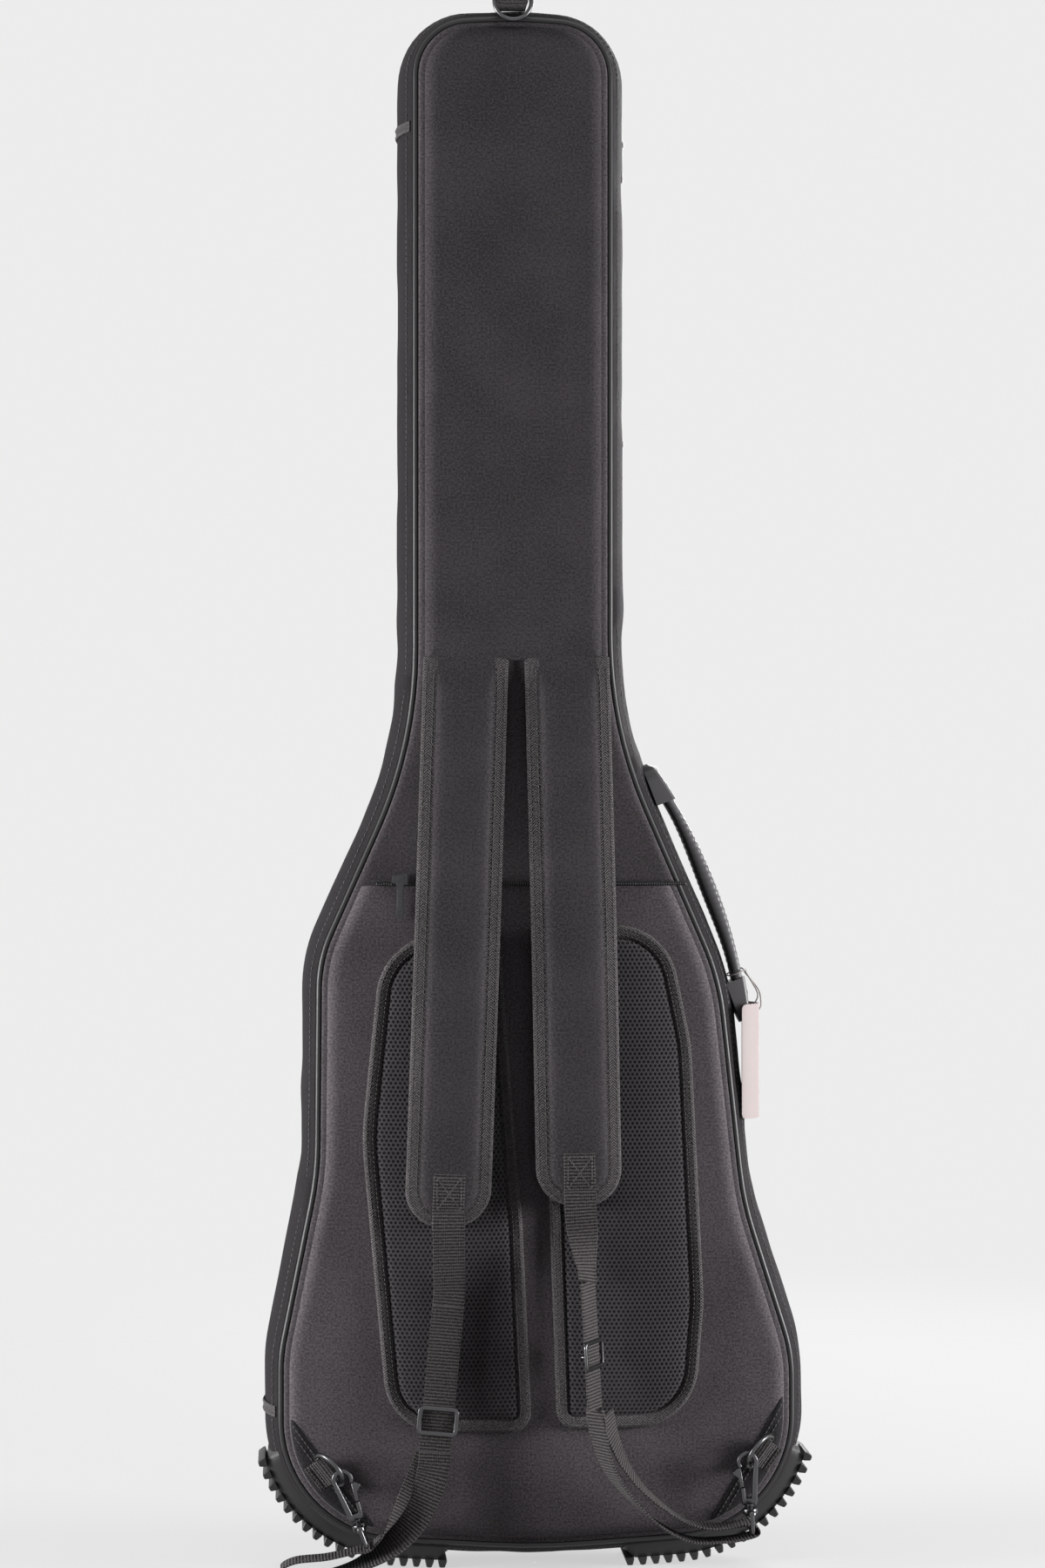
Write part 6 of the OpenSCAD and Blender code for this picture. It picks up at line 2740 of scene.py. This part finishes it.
@dataclass
class Sliders:
    """The four zip sliders of the bag."""

    side_x: float = 70.63
    upper_z: float = 1150.0
    lower_z: float = 905.0
    main_pivot: Corner = (-1.5, 0.0, 2.05)
    pocket_pivot: Corner = (-0.5, 0.0, 4.2)
    pocket_x: float = -110.0
    pocket_z: float = 551.6
    pocket_in: float = 1.5
    front_at: Corner = (74.0, 78.5, 565.6)

    def build(self, shop: Shop) -> None:
        """Make the pieces.

        Args:
            shop: Maker of the finished pieces.
        """
        rim = shop.rim
        x, y, z = np.eye(3)
        for key, at in (("upper", self.upper_z), ("lower", self.lower_z)):
            f = Frame(np.array([self.side_x + 1.0, rim.split - 3.0, at]), np.array([y, z, x]))
            Slider(
                f"zip_{key}", f, f"zip_slider_{key}", f"zip_pull_{key}", f"slider_{key}",
                f"pull_{key}", self.main_pivot, np.array([-z, y, x]), straddles=False,
            ).build(shop)
        for key, place, axes in (
            ("pocket", (self.pocket_x, rim.face + self.pocket_in, self.pocket_z), (-z, x, -y)),
            ("front", self.front_at, (-z, -x, y)),
        ):
            hang = np.array(axes)
            Slider(
                f"{key}_zip", Frame(np.array(place), hang), f"{key}_slider", f"{key}_pull",
                f"{key}_runner", f"{key}_tab", self.pocket_pivot, hang,
            ).build(shop)


@dataclass
class HangTag:
    """Bare card tag, curled, on a cotton string round the handle grip."""

    radius: float = 32.0
    at: Pair = (150.0, 6.0)
    top: float = 450.0
    high: float = 92.0
    span: Pair = (-62.0, 42.0)
    hole_z: float = 444.0
    thick: float = 0.7
    string: float = 1.2
    grip_at: float = 183.0
    corner: float = 4.0
    hole: float = 2.0
    leave: Corners = ((-2.4, 0.2, 0), (-0.3, 0.4, 0), (2, 1.5, 4), (0.5, 5, 16))
    wrap: Corners = (
        (4, 12.6, 5), (0, 12, 10), (0, 8.5, 15.2), (0, 2.5, 15.2), (0, -1.8, 10), (0, -1.8, -10),
        (0, 2.5, -15.2), (0, 8.5, -15.2), (0, 12, -10), (4, 12.6, -4),
    )
    back: Corners = ((-1.6, -6, 14), (-3.6, -2.5, 5), (-3.4, -1.4, 0))

    def tag(self) -> Build:
        """Curled card with a punched hole.

        Returns:
            The mesh.
        """
        r = self.radius - self.thick / 2
        a0, a1 = (math.radians(s) * r for s in self.span)
        low = self.top - self.high
        c = self.corner
        table = [(a0, low, c), (a1, low, c), (a1, self.top, c), (a0, self.top, c)]
        outline = evenly(Run.joined(Run.rounded(table, math.radians(12))).points, 2.0, closed=True)
        hole = circle(0, 360, 25, self.hole)[:-1] + (0, self.hole_z)

        def place(a: Points, b: Points, h: Points) -> Points:
            """Curl the flat card."""
            x, y = (r + h) * np.cos(a / r), (r + h) * np.sin(a / r)
            return np.stack([self.at[0] + x, self.at[1] + y, b], axis=-1)

        half = self.thick / 2

        def level(d: Points, a: Points, b: Points) -> Points:
            """Half the card's thickness all over."""
            return np.full(len(d), half)

        build = Build()
        Panel(outline, level, place, 5.0, (0.5, 1.5, 3.0), hole=hole).lay(build, under=-half)
        for loop in (outline, hole):
            rows = [place(loop[:, 0], loop[:, 1], np.full(len(loop), h)) for h in (half, -half)]
            build.grid(np.array(rows), close_cols=True)
        return build

    def path(self) -> Points:
        """Line of the string, from the tag round the grip and back.

        Returns:
            Points of the line.
        """
        handle = Handle()
        a, b = np.array(handle.start), np.array(handle.end)
        e = unit(b - a)

        def card(dx: float, dy: float, dz: float) -> Corner:
            """Place by the tag's hole."""
            return self.at[0] + self.radius + dx, self.at[1] + dy, self.hole_z + dz

        def grip(dh: float, g: float, y: float) -> Corner:
            """Place by the grip."""
            p = a + (self.grip_at + dh) * e + g * np.array([-e[1], e[0]])
            return p[0], handle.y + y, p[1]

        leave, back = ([card(*q) for q in end] for end in (self.leave, self.back))
        return through([*leave, *(grip(*q) for q in self.wrap), *back], 4)

    def build(self, shop: Shop) -> None:
        """Make the pieces.

        Args:
            shop: Maker of the finished pieces.
        """
        shop.piece(self.tag(), "card_tag", [Look.PAPER], ["hang_tag"], "tag")
        p = self.path()
        curve = bpy.data.curves.new("tag_cotton_line", "CURVE")
        curve.dimensions = "3D"
        curve.bevel_depth = self.string / 2 * MM
        curve.bevel_resolution = 3
        curve.use_fill_caps = True
        line = curve.splines.new("POLY")
        line.points.add(len(p) - 1)
        for spot, q in zip(line.points, p * MM):
            spot.co = (*q, 1.0)
        curve.materials.append(shop.look(Look.COTTON))
        obj = bpy.data.objects.new("tag_cotton", curve)
        bpy.context.scene.collection.objects.link(obj)
        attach(obj, "bag")
        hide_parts("tag_string")
        shop.names.append(obj.name)


@dataclass(frozen=True)
class Lamp:
    """Square lamp, not seen by the camera. Its sizes are metres."""

    name: str
    place: Corner
    size: float
    power: float

    def hang(self, aim: Vector) -> None:
        """Put the lamp in the scene, turned to a point.

        Args:
            aim: Point that it is turned to.
        """
        lamp = bpy.data.lights.new(self.name, "AREA")
        lamp.size = self.size
        lamp.energy = self.power
        obj = bpy.data.objects.new(self.name, lamp)
        obj.location = self.place
        obj.rotation_euler = (aim - Vector(self.place)).to_track_quat("-Z", "Y").to_euler()
        obj.visible_camera = False
        bpy.context.scene.collection.objects.link(obj)


@dataclass
class Studio:
    """Floor, lights and camera. Its sizes are metres."""

    eye: Corner = (-0.196, -3.0, 0.63)
    aim: Corner = (-0.0126, -0.04, 0.627)
    lens: float = 85.7
    sensor: float = 36.0
    lit: Corner = (0, 0, 0.5)
    lamps: tuple[Lamp, ...] = (
        Lamp("left", (-2.7, -0.62, 0.62), 0.9, 110.0),
        Lamp("right", (2.7, -0.62, 0.62), 0.9, 110.0),
        Lamp("top", (0.1, -0.7, 2.7), 0.9, 5.0),
        Lamp("front", (0.9, 2.3, 1.5), 1.2, 60.0),
    )
    paper: Colour = (0.25, 0.25, 0.25)
    floor_glow: float = 0.58
    floor_solid: float = 0.7
    floor_edge: float = 2.0
    floor_rings: Values = (0.001, 0.5, 1.0, 1.5)
    pale: float = 0.84
    dim: float = 0.035
    mirror: float = 0.9

    def seen(self, g: Graph) -> Socket:
        """Share of the background that a ray shows: all to the camera, less in a reflection.

        Args:
            g: Graph that takes the nodes.

        Returns:
            Socket of the result.
        """
        ray = g.tree.nodes.new("ShaderNodeLightPath")
        mirror = g.math("MAXIMUM", ray.outputs["Is Glossy Ray"], ray.outputs["Is Transmission Ray"])
        share = g.math("MULTIPLY", mirror, self.mirror)
        return g.math("MAXIMUM", ray.outputs["Is Camera Ray"], share)

    def floor(self) -> None:
        """Pale floor that fades into the background away from the bag."""
        build = Build()
        turn = np.radians(np.linspace(0, 360, 64, endpoint=False))
        reach = np.array([*self.floor_rings, self.floor_edge]) / MM
        rows = [np.stack([r * np.cos(turn), r * np.sin(turn), 0 * turn], 1) for r in reach]
        build.grid(np.array(rows), close_cols=True)
        g = Graph("studio_paper")
        place = g.tree.nodes.new("ShaderNodeNewGeometry")
        far = g.tree.nodes.new("ShaderNodeVectorMath")
        far.operation = "LENGTH"
        g.feed(far.inputs[0], place.outputs["Position"])
        fade = g.tree.nodes.new("ShaderNodeMapRange")
        fade.interpolation_type = "SMOOTHSTEP"
        g.feed(fade.inputs["Value"], far.outputs["Value"])
        fade.inputs["From Min"].default_value = self.floor_solid
        fade.inputs["From Max"].default_value = self.floor_edge
        fade.inputs["To Min"].default_value = 1.0
        fade.inputs["To Max"].default_value = 0.0
        look = g.finish(
            Base_Color=(*self.paper, 1), Roughness=0.9, Specular_IOR_Level=0.0,
            Alpha=fade.outputs[0], Emission_Color=(1, 1, 1, 1),
            Emission_Strength=g.math("MULTIPLY", self.seen(g), self.floor_glow),
        )
        build.make("studio_floor", [look], outward=False)

    def world(self) -> bpy.types.World:
        """Dim even light, seen by the camera as a pale background.

        Returns:
            The world.
        """
        world = bpy.data.worlds.new("studio")
        world.use_nodes = True
        g = Graph.on(world.node_tree)
        back = world.node_tree.nodes["Background"]
        back.inputs["Color"].default_value = (1, 1, 1, 1)
        strength = g.math("MULTIPLY_ADD", self.seen(g), self.pale - self.dim, self.dim)
        g.feed(back.inputs["Strength"], strength)
        return world

    def build(self) -> None:
        """Set the stage."""
        self.floor()
        scene = bpy.context.scene
        scene.world = self.world()
        for lamp in self.lamps:
            lamp.hang(Vector(self.lit))
        data = bpy.data.cameras.new("camera")
        data.sensor_fit = "VERTICAL"
        data.sensor_height = self.sensor
        data.lens = self.lens
        camera = bpy.data.objects.new("camera", data)
        camera.location = self.eye
        sight = Vector(self.aim) - Vector(self.eye)
        camera.rotation_euler = sight.to_track_quat("-Z", "Y").to_euler()
        scene.collection.objects.link(camera)
        scene.camera = camera
        scene.view_settings.view_transform = "Standard"


def main() -> None:
    """Build the bag's pieces in order and report them."""
    logging.basicConfig(level=logging.INFO, format="%(message)s")
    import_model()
    shop = Shop(Rim())
    shell = Shell()
    shell.build(shop)
    BackPocket().build(shop)
    BackPads().build(shop)
    for part in (*STRAPS, *WEBBINGS, *HOOKS):
        part.build(shop)
    Handle().build(shop)
    TopLoop().build(shop)
    Bumper().build(shop)
    Zip().build(shop)
    Lid().build(shop, shell)
    Padding().build(shop)
    Sliders().build(shop)
    HangTag().build(shop)
    Studio().build()
    LOG.info("%d pieces", len(shop.names))


if __name__ == "__main__":
    main()
